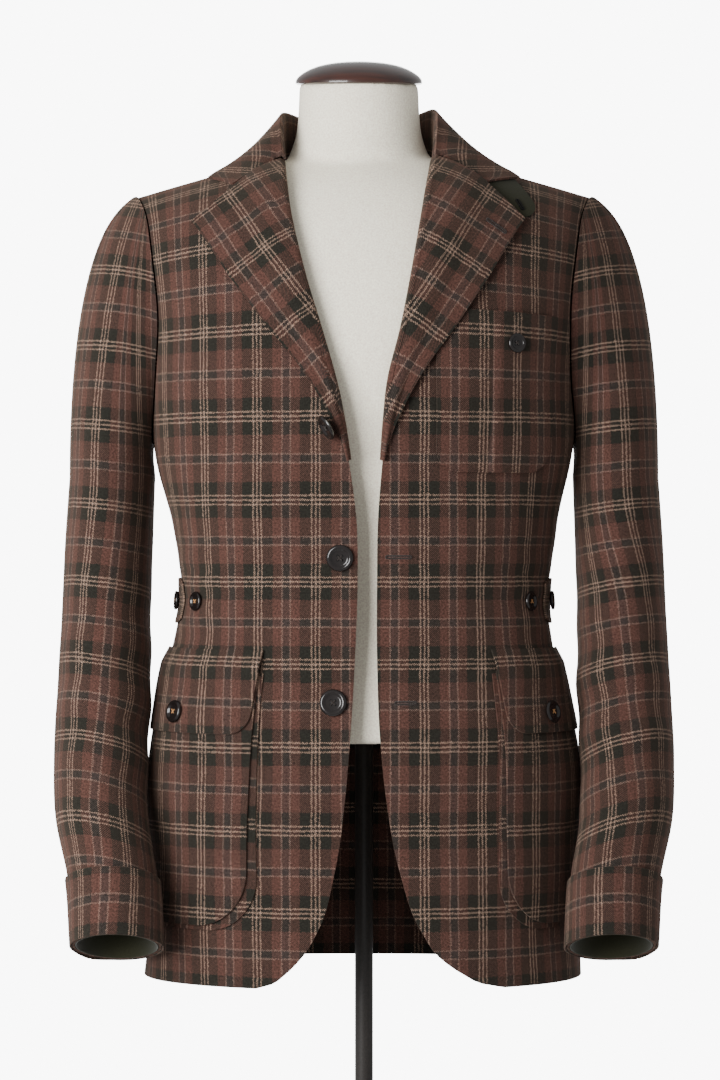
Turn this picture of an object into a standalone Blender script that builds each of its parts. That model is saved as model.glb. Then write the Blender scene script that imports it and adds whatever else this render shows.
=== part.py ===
"""Plaid safari jacket worn open on a limbless dress form with a short stand.

Metres, +Z up. The wearer faces -Y, so the wearer's right is at -X and the left at +X.
The origin is the middle of the stand's underside.

The cloth of the body lies on one surface, read by two numbers: the turn round the body, from the
centre front (0) past the side (pi/2) to the centre back (pi), and the length along the cloth, from
the hem up over the chest to the shoulder seam. Each piece is a grid of points on that surface or
beside it, thickened into a wall.
"""

import math

import bmesh
import bpy
import numpy as np

RIGHT, LEFT = -1, 1
SIDE_NAMES = {RIGHT: "right", LEFT: "left"}

# Driving sizes of the jacket
CLOTH = 0.0020
LINING = 0.0010
SEAM_GAP = 0.0003
LAY_GAP = 0.0006
BREADTH_POWER = 2.4
SIDE_Y = 0.005
SHOULDER_X = 0.203
NECK_SHIFT = -0.0045
NECK_SOFT = 0.030
RIDGE = 0.752
UNDERARM = 0.465
ARMHOLE_HEIGHT = RIDGE - UNDERARM
ARMHOLE_FRONT_TURN = 0.40
ARMHOLE_BACK_TURN = 0.42
BACK_NECK_DROP = 0.072
BACK_NECK_X = 0.069
BREAK = 0.440
GORGE = 0.712


class Table:
    """Rows of named columns, read between the rows along a smooth curve over the first column."""

    def __init__(self, columns, rows):
        self.columns = dict(zip(columns, np.array(rows, float).T))
        self.key = self.columns[columns[0]]

    def at(self, column, key):
        """The column's value where the first column is key."""
        key = np.clip(key, self.key[0], self.key[-1])
        values = self.columns[column]
        slopes = np.gradient(values, self.key)
        row = np.clip(np.searchsorted(self.key, key, side="right") - 1, 0, len(self.key) - 2)
        span = self.key[row + 1] - self.key[row]
        t = (key - self.key[row]) / span
        rise = t * t * (3 - 2 * t)
        return (
            values[row] * (1 - rise)
            + values[row + 1] * rise
            + span * slopes[row] * t * (1 - t) ** 2
            + span * slopes[row + 1] * t * t * (t - 1)
        )


# One row for each section of the body: half-width at the side, depth in front of the side and
# behind it, and how steeply the section climbs towards the neck
BODY = Table(
    ("length", "height", "half_width", "front", "back", "tilt"),
    (
        (0.000, 0.1500, 0.190, 0.138, 0.136, 0.00),
        (0.090, 0.2400, 0.187, 0.139, 0.138, 0.00),
        (0.200, 0.3500, 0.183, 0.134, 0.130, 0.00),
        (0.285, 0.4350, 0.167, 0.123, 0.114, 0.00),
        (0.330, 0.4800, 0.160, 0.119, 0.108, 0.00),
        (0.390, 0.5400, 0.168, 0.124, 0.113, 0.00),
        (0.465, 0.6150, 0.183, 0.134, 0.124, 0.00),
        (0.530, 0.6800, 0.187, 0.137, 0.130, 0.02),
        (0.590, 0.7380, 0.191, 0.127, 0.125, 0.08),
        (0.640, 0.7830, 0.196, 0.104, 0.109, 0.16),
        (0.680, 0.8110, 0.199, 0.074, 0.082, 0.23),
        (0.715, 0.8260, 0.202, 0.039, 0.045, 0.27),
        (0.752, 0.8295, 0.203, 0.000, 0.000, 0.29),
    ),
)

# The front's inner edge: round hem corner, open front edge, and the lapel's roll line up to the neck
EDGE = Table(
    ("length", "right", "left"),
    (
        (0.000, 0.0920, 0.1200),
        (0.004, 0.0785, 0.1000),
        (0.010, 0.0700, 0.0880),
        (0.025, 0.0545, 0.0660),
        (0.050, 0.0390, 0.0480),
        (0.100, 0.0247, 0.0300),
        (0.160, 0.0162, 0.0188),
        (0.210, 0.0120, 0.0136),
        (0.280, 0.0077, 0.0110),
        (0.350, 0.0055, 0.0110),
        (0.397, 0.0065, 0.0118),
        (0.440, 0.0119, 0.0150),
        (0.484, 0.0200, 0.0195),
        (0.518, 0.0285, 0.0245),
        (0.550, 0.0385, 0.0335),
        (0.597, 0.0540, 0.0440),
        (0.644, 0.0660, 0.0530),
        (0.700, 0.0720, 0.0610),
        (0.752, 0.0735, 0.0640),
    ),
)

# The lapel's free edge, from the break up to its point: distance from the middle and length
LAPEL_EDGE = {
    RIGHT: Table(
        ("share", "x", "length"),
        (
            (0.00, 0.0119, 0.440),
            (0.14, 0.0235, 0.474),
            (0.30, 0.0440, 0.510),
            (0.55, 0.0850, 0.561),
            (0.78, 0.1175, 0.604),
            (1.00, 0.1470, 0.653),
        ),
    ),
    LEFT: Table(
        ("share", "x", "length"),
        (
            (0.00, 0.0150, 0.440),
            (0.14, 0.0250, 0.474),
            (0.30, 0.0430, 0.510),
            (0.55, 0.0800, 0.561),
            (0.78, 0.1090, 0.604),
            (1.00, 0.1360, 0.651),
        ),
    ),
}
NOTCH_X = {RIGHT: 0.1115, LEFT: 0.1035}
NOTCH_LENGTH = 0.682
NOTCH_SHARE = 0.55
LAPEL_LIFT = {RIGHT: 0.0028, LEFT: 0.0056}
LAPEL_TOP_GAP = {RIGHT: 0.001, LEFT: 0.008}
ROLL_LIFT = 0.0030
ROLL_REACH = 0.0022

# The collar from past the centre back to its front end: its fold, the height of its stand, and its
# outer edge as distance from the middle and length past the shoulder seam (front negative)
COLLAR = Table(
    ("share", "fold_x", "fold_y", "fold_z", "stand", "edge_x", "edge_over"),
    (
        (-0.26, -0.0440, 0.0640, 0.9070, 0.042, -0.058, 0.074),
        (0.00, 0.0000, 0.0800, 0.9030, 0.046, 0.000, 0.086),
        (0.26, 0.0440, 0.0640, 0.9070, 0.042, 0.058, 0.074),
        (0.52, 0.0665, 0.0240, 0.9095, 0.040, 0.098, 0.022),
        (0.78, 0.0690, -0.0190, 0.8940, 0.024, 0.121, -0.026),
        (1.00, 0.0668, -0.0435, 0.8640, 0.004, 0.134, -0.047),
    ),
)
COLLAR_LIFT = 0.0052
COLLAR_BULGE = -0.002
COLLAR_TILT = 0.003

# The sleeve below the armhole: how far below its top ring, its outer and inner side from the
# middle, the middle and half of its depth, and how far the section leans forward
SLEEVE = Table(
    ("drop", "outer_x", "inner_x", "middle_y", "half_depth", "lean"),
    (
        (0.000, 0.2580, 0.1850, 0.004, 0.072, 0.02),
        (0.055, 0.2615, 0.1866, 0.000, 0.071, 0.06),
        (0.125, 0.2640, 0.1880, -0.010, 0.069, 0.11),
        (0.185, 0.2665, 0.1870, -0.024, 0.066, 0.17),
        (0.245, 0.2680, 0.1885, -0.044, 0.062, 0.24),
        (0.295, 0.2645, 0.1865, -0.070, 0.058, 0.30),
        (0.345, 0.2520, 0.1772, -0.096, 0.053, 0.32),
        (0.400, 0.2465, 0.1730, -0.115, 0.050, 0.32),
    ),
)
SLEEVE_TOP_Z = 0.585
SLEEVE_LENGTH = 0.400
CUFF_TOP = 0.346
CUFF_SLIT = math.radians(-50)
CUFF_SLIT_WIDTH = 0.0030
CUFF_CORNER_DROP = 0.004

# Pockets, flaps, tab and their buttons, as places on the body surface
POCKET_INNER_X = {RIGHT: (0.088, 0.099), LEFT: (0.110, 0.121)}
POCKET_OUTER_TURN = math.radians(87.5)
POCKET_TOP, POCKET_BOTTOM = 0.268, 0.052
POCKET_CORNER = 0.046
GUSSET_SHOWS, GUSSET_GROWS = 0.009, (0.4, 1.05)
GUSSET_CLOTH = 0.0012
FLAP_TOP, FLAP_BOTTOM = 0.286, 0.214
FLAP_CORNER = 0.018
FLAP_MARGIN = 0.003
BREAST_TOP, BREAST_BOTTOM = 0.570, 0.438
BREAST_INNER_X = 0.060
BREAST_OUTER_X = (0.164, 0.152)
BREAST_CORNER = 0.020
TAB_TURNS = (math.radians(73), math.radians(122))
TAB_MIDDLE, TAB_HALF_HEIGHT = 0.327, 0.020
THROAT_TAB_ENDS = ((0.116, 0.700), (0.139, 0.656))
THROAT_TAB_HALF_WIDTH = 0.0145
THROAT_TAB_CLOTH = 0.0012

# Buttons: turn or distance from the middle, length and radius. The top one is caught by the lapel's roll
BUTTON_DEPTH = 0.0036
TOP_BUTTON_STANDS_UP, STAND_UP_AWAY = math.radians(68), (0.87, -0.50)
FRONT_BUTTON_X = {"top": 0.0300, "middle": 0.0205, "bottom": 0.0262}
FRONT_BUTTON_LENGTH = {"top": 0.4760, "middle": 0.3650, "bottom": 0.2420}
FRONT_BUTTON_RADIUS = 0.0115
FLAP_BUTTON_TURN, FLAP_BUTTON_LENGTH, FLAP_BUTTON_RADIUS = math.radians(58), 0.231, 0.0098
TAB_BUTTON_TURNS, TAB_BUTTON_RADIUS = (math.radians(61), math.radians(82)), 0.0085
BREAST_BUTTON_X, BREAST_BUTTON_LENGTH, BREAST_BUTTON_RADIUS = 0.1265, 0.545, 0.0085

# The dress form and its stand
FORM_BOTTOM = 0.206
FORM_EASE = Table(
    ("length", "ease"),
    (
        (0.206, 0.0200),
        (0.330, 0.0200),
        (0.465, 0.0180),
        (0.560, 0.0110),
        (0.640, 0.0100),
        (0.700, 0.0080),
        (0.735, 0.0026),
        (0.752, 0.0013),
    ),
)
FORM_SHOULDER_X = 0.178
FORM_SHOULDER_DROP = 0.004
NECK = Table(
    ("height", "half_width", "half_depth", "middle_y"),
    (
        (0.800, 0.058, 0.050, 0.022),
        (0.850, 0.057, 0.054, 0.019),
        (0.880, 0.0550, 0.055, 0.015),
        (0.905, 0.0535, 0.056, 0.013),
        (0.931, 0.0525, 0.055, 0.011),
    ),
)
NECK_TOP_LEAN = 0.10
CAP_RADIUS, CAP_HEIGHT, CAP_LIP = 0.0560, 0.0215, 0.004
POLE_RADIUS, BASE_RADIUS, BASE_HEIGHT = 0.0080, 0.155, 0.012


def material(name, colour, roughness, metallic=0.0):
    made = bpy.data.materials.new(name)
    made.use_nodes = True
    shader = made.node_tree.nodes["Principled BSDF"]
    shader.inputs["Base Color"].default_value = (*colour, 1.0)
    shader.inputs["Roughness"].default_value = roughness
    shader.inputs["Metallic"].default_value = metallic
    made.diffuse_color = (*colour, 1.0)
    return made


def clear_scene():
    for obj in list(bpy.data.objects):
        bpy.data.objects.remove(obj)


def solid(name, points, faces, finish):
    """One named object from points and faces, with its faces turned outwards."""
    mesh = bpy.data.meshes.new(name)
    mesh.from_pydata([tuple(map(float, p)) for p in points], [], faces)
    shape = bmesh.new()
    shape.from_mesh(mesh)
    bmesh.ops.remove_doubles(shape, verts=shape.verts, dist=1e-6)
    bmesh.ops.recalc_face_normals(shape, faces=shape.faces)
    shape.to_mesh(mesh)
    shape.free()
    mesh.materials.append(finish)
    mesh.shade_smooth()
    mesh.set_sharp_from_angle(angle=math.radians(40))
    obj = bpy.data.objects.new(name, mesh)
    bpy.context.scene.collection.objects.link(obj)
    return obj


def grid_normals(grid, around=False):
    """Unit normals of a grid of points. With around, its columns close into a ring."""
    down = np.gradient(grid, axis=0)
    if around:
        across = (np.roll(grid, -1, axis=1) - np.roll(grid, 1, axis=1)) / 2
    else:
        across = np.gradient(grid, axis=1)
    normal = np.cross(across, down)
    return normal / np.linalg.norm(normal, axis=2, keepdims=True)


def quads(rows, columns, start, around=False):
    last = columns if around else columns - 1
    made = []
    for r in range(rows - 1):
        for c in range(last):
            d = (c + 1) % columns
            corner = start + r * columns
            made.append((corner + c, corner + d, corner + columns + d, corner + columns + c))
    return made


def wall(name, grid, thickness, finish, around=False):
    """A closed wall of even thickness whose middle is the grid of points."""
    rows, columns, _ = grid.shape
    half = grid_normals(grid, around) * thickness / 2
    count = rows * columns
    points = np.concatenate([(grid + half).reshape(-1, 3), (grid - half).reshape(-1, 3)])
    faces = quads(rows, columns, 0, around) + [f[::-1] for f in quads(rows, columns, count, around)]
    rims = [[c for c in range(columns)], [(rows - 1) * columns + c for c in range(columns)]]
    if around:
        rims = [rim + rim[:1] for rim in rims]
    else:
        rims += [[r * columns for r in range(rows)], [r * columns + columns - 1 for r in range(rows)]]
    for rim in rims:
        for a, b in zip(rim[:-1], rim[1:]):
            faces.append((a, b, b + count, a + count))
    return solid(name, points, faces, finish)


def body_point(turn, length):
    """Points of the body surface on the +X side."""
    power = 2 / BREADTH_POWER
    x = BODY.at("half_width", length) * np.sign(np.sin(turn)) * np.abs(np.sin(turn)) ** power
    reach = np.abs(np.cos(turn)) ** power
    front = np.cos(turn) > 0
    y = SIDE_Y + np.where(front, -BODY.at("front", length), BODY.at("back", length)) * reach
    climb = math.hypot(SHOULDER_X, NECK_SOFT) - np.hypot(x, NECK_SOFT)
    z = BODY.at("height", length) + BODY.at("tilt", length) * climb
    return np.stack([x, y, z], axis=-1)


def turn_at(x, length):
    """The turn at which the body surface's front is this far from the middle."""
    share = np.clip(np.asarray(x) / BODY.at("half_width", length), 0, 1)
    return np.arcsin(share ** (BREADTH_POWER / 2))


def armhole_turn(length, reach):
    """Half the armhole's opening at this length, as a turn to either side of the side line."""
    middle, half = (RIDGE + UNDERARM) / 2, ARMHOLE_HEIGHT / 2
    return reach * np.sqrt(np.clip(1 - ((length - middle) / half) ** 2, 0, 1))


def body_normal(turn, length):
    step = 1e-4
    length = np.minimum(length, RIDGE - 0.003)
    around = body_point(turn + step, length) - body_point(turn - step, length)
    along = body_point(turn, length + step) - body_point(turn, length - step)
    normal = np.cross(around, along)
    return normal / np.linalg.norm(normal, axis=-1, keepdims=True)


def on_body(turn, length, side, lift):
    """Points this far off the body surface, on either side of the jacket."""
    turn, length, lift = np.broadcast_arrays(turn, np.asarray(length, float), lift)
    points = body_point(turn, length) + body_normal(turn, length) * lift[..., None]
    return points * np.array([side, 1, 1])


def even_turns(length, first, last, count):
    """Turns from first to last at one length, evenly spaced along the cloth."""
    dense = np.linspace(first, last, 161)
    steps = np.linalg.norm(np.diff(body_point(dense, np.full_like(dense, length)), axis=0), axis=1)
    along = np.concatenate([[0], np.cumsum(steps)])
    return np.interp(np.linspace(0, along[-1], count), along, dense)


def clear_of_seam(grid, way):
    """Keeps a panel's points in front of the side and shoulder seams (-1) or behind them (1)."""
    offset = (grid[..., 1] - SIDE_Y) * way
    grid[..., 1] = SIDE_Y + way * np.maximum(offset, SEAM_GAP)
    return grid


FRONT_LENGTHS = np.concatenate(
    [
        [0.0, 0.003, 0.010, 0.024, 0.050, 0.090, 0.130, 0.170, 0.210, 0.250],
        [0.285, 0.307, 0.327, 0.347, 0.370, 0.400, 0.432, UNDERARM],
        UNDERARM + ARMHOLE_HEIGHT * np.array([0.04, 0.14, 0.27, 0.42, 0.57, 0.70, 0.82, 0.92, 0.97, 1.0]),
    ]
)
FRONT_COLUMNS = 12


def front_panel(side, finish):
    rows = []
    for length in FRONT_LENGTHS:
        first = turn_at(EDGE.at(SIDE_NAMES[side], length), length)
        last = math.pi / 2 - armhole_turn(length, ARMHOLE_FRONT_TURN)
        turns = even_turns(length, first, last, FRONT_COLUMNS)
        rows.append(on_body(turns, length, side, 0.0))
    return wall(f"front_{SIDE_NAMES[side]}", clear_of_seam(np.array(rows), -1), CLOTH, finish)


def back_panel(finish):
    """The whole back: its top follows the shoulder seams and dips into the back of the neck."""
    neck = [(NECK_SHIFT + way * BACK_NECK_X) / SHOULDER_X for way in (-1, 1)]
    shoulders = [np.linspace(-1, neck[0], 6), np.linspace(neck[1], 1, 6)]
    across = np.concatenate([shoulders[0], np.linspace(*neck, 9)[1:-1], shoulders[1]])
    rows = []
    for length in FRONT_LENGTHS:
        row = []
        for share in across:
            dip = max(0.0, 1 - ((share * SHOULDER_X - NECK_SHIFT) / BACK_NECK_X) ** 2)
            here = length * (1 - BACK_NECK_DROP * dip / RIDGE)
            first = math.pi / 2 + armhole_turn(here, ARMHOLE_BACK_TURN)
            turns = even_turns(here, math.pi, first, 61)
            turn = np.interp(abs(share), np.linspace(0, 1, 61), turns)
            row.append(on_body(turn, here, math.copysign(1, share), 0.0))
        rows.append(row)
    return wall("back", clear_of_seam(np.array(rows), 1), CLOTH, finish)


def sleeve_ring(drop, angles, side, out=0.0):
    """One ring of the sleeve below the armhole. Angle 0 is its outer side, pi/2 its front."""
    outer, inner = SLEEVE.at("outer_x", drop), SLEEVE.at("inner_x", drop)
    lean, deep = SLEEVE.at("lean", drop), SLEEVE.at("half_depth", drop) + out
    wide = (outer - inner) / 2 + out
    x = (outer + inner) / 2 + wide * np.cos(angles)
    forward = -deep * np.sin(angles)
    y = SLEEVE.at("middle_y", drop) + forward * math.cos(lean)
    z = SLEEVE_TOP_Z - drop - forward * math.sin(lean)
    return np.stack([side * x, y, z], axis=-1)


def armhole_loop(angles, side):
    """The armhole's seam line. Angle 0 is the shoulder, pi/2 the front, pi the underarm."""
    middle, half = (RIDGE + UNDERARM) / 2, ARMHOLE_HEIGHT / 2
    length = middle + half * np.cos(angles)
    reach = np.where(np.sin(angles) > 0, -ARMHOLE_FRONT_TURN, ARMHOLE_BACK_TURN)
    turn = math.pi / 2 + reach * np.abs(np.sin(angles))
    return on_body(turn, np.clip(length, UNDERARM, RIDGE - 1e-4), side, CLOTH + LAY_GAP)


def sleeve_cap(angles, side, shares):
    """Rings from the armhole, out over the shoulder and down to the sleeve's top ring."""
    start, end = armhole_loop(angles, side), sleeve_ring(0.0, angles, side)
    reach = np.linalg.norm(end - start, axis=1)[:, None]
    top = np.cos(angles)
    leave = np.stack([side * (0.46 + 0.10 * top), -0.06 * np.sin(angles), -0.62 + 0.22 * top], axis=1)
    arrive = np.array([0.0, 0.0, -1.0])
    rings = []
    for t in shares:
        ring = (
            (1 + 2 * t) * (1 - t) ** 2 * start
            + t * (1 - t) ** 2 * leave * reach
            + t * t * (3 - 2 * t) * end
            + t * t * (t - 1) * arrive * reach
        )
        rings.append(ring)
    return rings


SLEEVE_COLUMNS = 16
CAP_SHARES = (0.0, 0.07, 0.17, 0.32, 0.50, 0.68, 0.85)
CUFF_DROPS = np.linspace(CUFF_TOP, SLEEVE_LENGTH, 5)
SLEEVE_DROPS = np.concatenate([np.linspace(0.0, 0.315, 8), CUFF_DROPS])


def sleeve(side, finish):
    angles = np.linspace(0, 2 * math.pi, SLEEVE_COLUMNS, endpoint=False)
    rings = sleeve_cap(angles, side, CAP_SHARES)
    rings += [sleeve_ring(drop, angles, side) for drop in SLEEVE_DROPS]
    return wall(f"sleeve_{SIDE_NAMES[side]}", np.array(rings), CLOTH, finish, around=True)


def cuff(side, finish):
    """A turned-back band round the sleeve's end, open at a slit behind its outer side."""
    out = CLOTH + LAY_GAP
    slit = CUFF_SLIT_WIDTH / SLEEVE.at("half_depth", SLEEVE_LENGTH) / 2
    step = 2 * math.pi / SLEEVE_COLUMNS
    whole = np.arange(math.ceil(CUFF_SLIT / step), math.floor((CUFF_SLIT + 2 * math.pi) / step) + 1) * step
    angles = np.concatenate([[CUFF_SLIT + slit], whole, [CUFF_SLIT + 2 * math.pi - slit]])
    corner = np.maximum(0, 1 - np.minimum(angles - angles[0], angles[-1] - angles) / 0.5)
    rows = []
    for drop in CUFF_DROPS:
        ring = sleeve_ring(drop, angles, side, out)
        ring[:, 2] -= CUFF_CORNER_DROP * corner * (drop - CUFF_TOP) / (SLEEVE_LENGTH - CUFF_TOP)
        rows.append(ring)
    return wall(f"cuff_{SIDE_NAMES[side]}", np.array(rows), CLOTH, finish)


def cuff_lining(side, finish):
    angles = np.linspace(0, 2 * math.pi, SLEEVE_COLUMNS, endpoint=False)
    out = -(CLOTH + LINING) / 2 - LAY_GAP
    rings = [sleeve_ring(drop, angles, side, out) for drop in CUFF_DROPS[::2]]
    return wall(f"cuff_lining_{SIDE_NAMES[side]}", np.array(rings), LINING, finish, around=True)


def lapel_lift(side, share):
    """The lapel lies close at its foot and higher where a pocket and a tab are under it."""
    low = CLOTH + LAY_GAP
    return low + (LAPEL_LIFT[side] - low) * min(1.0, share / 0.25)


def lapel(side, finish):
    """The turned-back front edge: it rolls over the front's edge and lies out on the chest."""
    table, name = LAPEL_EDGE[side], SIDE_NAMES[side]
    across = np.array([0.0, 0.16, 0.30, 0.42, 0.55, 0.70, 0.85, 1.0])
    rows = []
    for share in np.linspace(0.03, 1, 12):
        start_length = BREAK + (GORGE - LAPEL_TOP_GAP[side] - BREAK) * share
        start_x = EDGE.at(name, start_length)
        end_x, end_length = table.at("x", share), table.at("length", share)
        middle_x = start_x + (end_x - start_x) * NOTCH_SHARE
        middle_length = start_length + (end_length - start_length) * NOTCH_SHARE
        bend = np.where(across < NOTCH_SHARE, across / NOTCH_SHARE, (1 - across) / (1 - NOTCH_SHARE))
        pull = share**8 * bend
        x = start_x + (end_x - start_x) * across + pull * (NOTCH_X[side] - middle_x)
        length = start_length + (end_length - start_length) * across
        length = length + pull * (NOTCH_LENGTH - SEAM_GAP - middle_length)
        flat = lapel_lift(side, share) + ROLL_LIFT * np.sin(math.pi * np.clip(across / 0.6, 0, 1))
        rows.append(on_body(turn_at(x, length), length, side, flat))
        inward = rows[-1][0] - on_body(turn_at(start_x, start_length), start_length, side, 0.0)
        edge = on_body(turn_at(start_x, start_length), start_length, side, -0.0002)
        over = rows[-1][0].copy()
        reach = ROLL_REACH * min(1.0, 0.08 + share / 0.25)
        rows[-1][0] = edge - np.array([side * (reach + CLOTH / 2), 0, 0])
        lip = (over + rows[-1][0]) / 2 + inward * 0.25 - np.array([side * reach * 0.35, 0, 0])
        rows[-1] = np.concatenate([rows[-1][:1], lip[None], over[None] + inward * 0.2, rows[-1][1:]])
    return wall(f"lapel_{name}", np.array(rows), CLOTH, finish)


COLLAR_FALL = (0.08, 0.22, 0.38, 0.55, 0.72, 0.87, 1.0)


def gorge_line(side, shares, edge_x, edge_length):
    """The collar's front end: along the lapel to the notch, then out to the collar's corner."""
    start_x = EDGE.at(SIDE_NAMES[side], GORGE)
    x = np.interp(shares, (0, NOTCH_SHARE, 1), (start_x, NOTCH_X[side], edge_x))
    length = np.interp(shares, (0, NOTCH_SHARE, 1), (GORGE, NOTCH_LENGTH, edge_length))
    return on_body(turn_at(x, length), length + SEAM_GAP, side, COLLAR_LIFT)


def collar_half(side, shares):
    """Rows of the collar for one side, each from the neck seam up to the fold and down to the edge."""
    rows = []
    for share in shares:
        fold_x = side * COLLAR.at("fold_x", share) + NECK_SHIFT
        tilt = side * COLLAR_TILT * min(1.0, share / 0.5) * (1 - share)
        fold = np.array([fold_x, COLLAR.at("fold_y", share), COLLAR.at("fold_z", share) + tilt])
        over = COLLAR.at("edge_over", share)
        edge_length = RIDGE - abs(over)
        turn = turn_at(COLLAR.at("edge_x", share), edge_length)
        turn = math.pi - turn if over > 0 else turn
        edge = on_body(turn, edge_length, side, COLLAR_LIFT)
        outward = np.array([edge[0] - fold[0], edge[1] - fold[1], 0.0])
        outward /= np.linalg.norm(outward)
        stand = COLLAR.at("stand", share)
        seam = fold - outward * 0.0025 - np.array([0, 0, stand])
        near_fold = fold - outward * 0.002 - np.array([0, 0, 0.0025])
        inside = [seam, (seam + fold) / 2 - outward * 0.001, near_fold]
        shoulder = fold + (edge - fold) * 0.42 + np.array([0, 0, COLLAR_BULGE * (1 - 0.6 * share)])
        end = gorge_line(side, COLLAR_FALL, COLLAR.at("edge_x", 1.0), RIDGE + COLLAR.at("edge_over", 1.0))
        fall = []
        for t, last in zip(COLLAR_FALL, end):
            point = (1 - t) ** 2 * fold + 2 * t * (1 - t) * shoulder + t * t * edge
            fall.append(point + (last - point) * share**8)
        rows.append(inside + [fold] + fall)
    return rows


def collar(finish):
    shares = np.linspace(0, 1, 10)
    right = collar_half(RIGHT, shares[:0:-1])
    left = collar_half(LEFT, shares)
    return wall("collar", np.array(right + left), CLOTH, finish)


def patch(side, top, bottom, first_turns, last_turns, corner, lift, rows=7, columns=13):
    """A grid on the body between two lengths and two turns, with its lower corners rounded.

    The turns at each end go from top to bottom. The lift is a number or a function of the share
    across and the share down.
    """
    drops = np.linspace(0, top - bottom - corner, rows)
    bend = np.sin(np.linspace(0, math.pi / 2, 5)[1:])
    drops = np.concatenate([drops, top - bottom - corner + corner * bend])
    grid = []
    for drop in drops:
        share = drop / (top - bottom)
        length = top - drop
        past = max(0.0, drop - (top - bottom - corner))
        inset = corner - math.sqrt(max(0.0, corner**2 - past**2))
        first = first_turns[0] + (first_turns[1] - first_turns[0]) * share
        last = last_turns[0] + (last_turns[1] - last_turns[0]) * share
        dense = even_turns(length, first, last, 81)
        steps = np.linalg.norm(np.diff(body_point(dense, np.full_like(dense, length)), axis=0), axis=1)
        trim = inset / steps.sum()
        places = np.linspace(trim, 1 - trim, columns)
        turns = np.interp(places, np.linspace(0, 1, 81), dense)
        high = lift(places, share) if callable(lift) else lift
        grid.append(on_body(turns, length, side, high))
    return np.array(grid)


# A bellows pocket lies on its gusset, which lies on the front
POCKET_LIFT = CLOTH / 2 + LAY_GAP + GUSSET_CLOTH + LAY_GAP + CLOTH / 2


def bellows_pocket(side, finish):
    """The patch and, under its rim, the gusset strip that joins it to the front."""
    name = SIDE_NAMES[side]
    inner = [turn_at(x, length) for x, length in zip(POCKET_INNER_X[side], (POCKET_TOP, POCKET_BOTTOM))]
    outer = (POCKET_OUTER_TURN, POCKET_OUTER_TURN)
    grid = patch(side, POCKET_TOP, POCKET_BOTTOM, inner, outer, POCKET_CORNER, POCKET_LIFT)
    wall(f"pocket_{name}", grid, CLOTH, finish)
    shows = GUSSET_SHOWS / BODY.at("half_width", POCKET_TOP)
    wider = [turn - shows * grow for turn, grow in zip(inner, GUSSET_GROWS)]
    lift = CLOTH / 2 + LAY_GAP + GUSSET_CLOTH / 2
    strip = patch(side, POCKET_TOP - 0.002, POCKET_BOTTOM - 0.004, wider, outer, POCKET_CORNER, lift)
    wall(f"gusset_{name}", strip, GUSSET_CLOTH, finish)


def flap(side, finish):
    inner_x = POCKET_INNER_X[side][0] - FLAP_MARGIN
    inner = [turn_at(x, FLAP_TOP) for x in (inner_x, inner_x + 0.004)]
    outer = (POCKET_OUTER_TURN, POCKET_OUTER_TURN)
    low = CLOTH + LAY_GAP
    high = POCKET_LIFT + CLOTH + LAY_GAP

    def lift(places, share):
        return low + (high - low) * min(1.0, share / 0.2) + 0 * places

    grid = patch(side, FLAP_TOP, FLAP_BOTTOM, inner, outer, FLAP_CORNER, lift, rows=5)
    return wall(f"flap_{SIDE_NAMES[side]}", grid, CLOTH, finish)


def breast_pocket(finish):
    inner = [turn_at(BREAST_INNER_X, length) for length in (BREAST_TOP, BREAST_BOTTOM)]
    outer = [turn_at(x, length) for x, length in zip(BREAST_OUTER_X, (BREAST_TOP, BREAST_BOTTOM))]
    lift = CLOTH + LAY_GAP
    grid = patch(LEFT, BREAST_TOP, BREAST_BOTTOM, inner, outer, BREAST_CORNER, lift, rows=6, columns=9)
    return wall("breast_pocket", grid, CLOTH, finish)


def waist_tab(side, finish):
    """A strap that lies round the side of the waist, with a rounded front end."""
    shares = np.array([-1.0, -0.35, 0.35, 1.0])
    reach = TAB_TURNS[1] - TAB_TURNS[0]
    rows = []
    for place in np.concatenate([[0.0, 0.03], np.linspace(0.08, 1, 13)]):
        half = TAB_HALF_HEIGHT * min(1.0, math.sqrt(1 - (1 - min(1.0, 0.35 + place / 0.25)) ** 2))
        turn = TAB_TURNS[0] + reach * place
        rows.append(on_body(turn, TAB_MIDDLE + half * shares, side, CLOTH + LAY_GAP))
    return wall(f"waist_tab_{SIDE_NAMES[side]}", np.array(rows), CLOTH, finish)


def throat_tab(finish):
    """A tongue of plain cloth under the left collar and lapel, with a round end in the notch."""
    (x0, l0), (x1, l1) = THROAT_TAB_ENDS
    span = math.hypot(x1 - x0, l1 - l0)
    along = np.array([x1 - x0, l1 - l0]) / span
    across = np.array([-along[1], along[0]])
    shares = np.linspace(-1, 1, 7)
    rows = []
    for place in (0.0, 0.012, 0.024, 0.036, 0.042, 0.046, 0.0485, span):
        past = max(0.0, place - (span - THROAT_TAB_HALF_WIDTH)) / THROAT_TAB_HALF_WIDTH
        half = THROAT_TAB_HALF_WIDTH * math.sqrt(max(0.02, 1 - past**2))
        spot = np.array([x0, l0]) + along * place + across * (shares * half)[:, None]
        lift = CLOTH / 2 + LAY_GAP + THROAT_TAB_CLOTH / 2
        rows.append(on_body(turn_at(spot[:, 0], spot[:, 1]), spot[:, 1], LEFT, lift))
    return wall("throat_tab", np.array(rows), THROAT_TAB_CLOTH, finish)


# A button's half profile, as shares of its radius and of its depth
BUTTON_PROFILE = ((0.58, 0.55), (0.72, 0.96), (0.88, 0.96), (1.0, 0.50), (0.62, 0.0))
BUTTON_SIDES = 12


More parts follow.
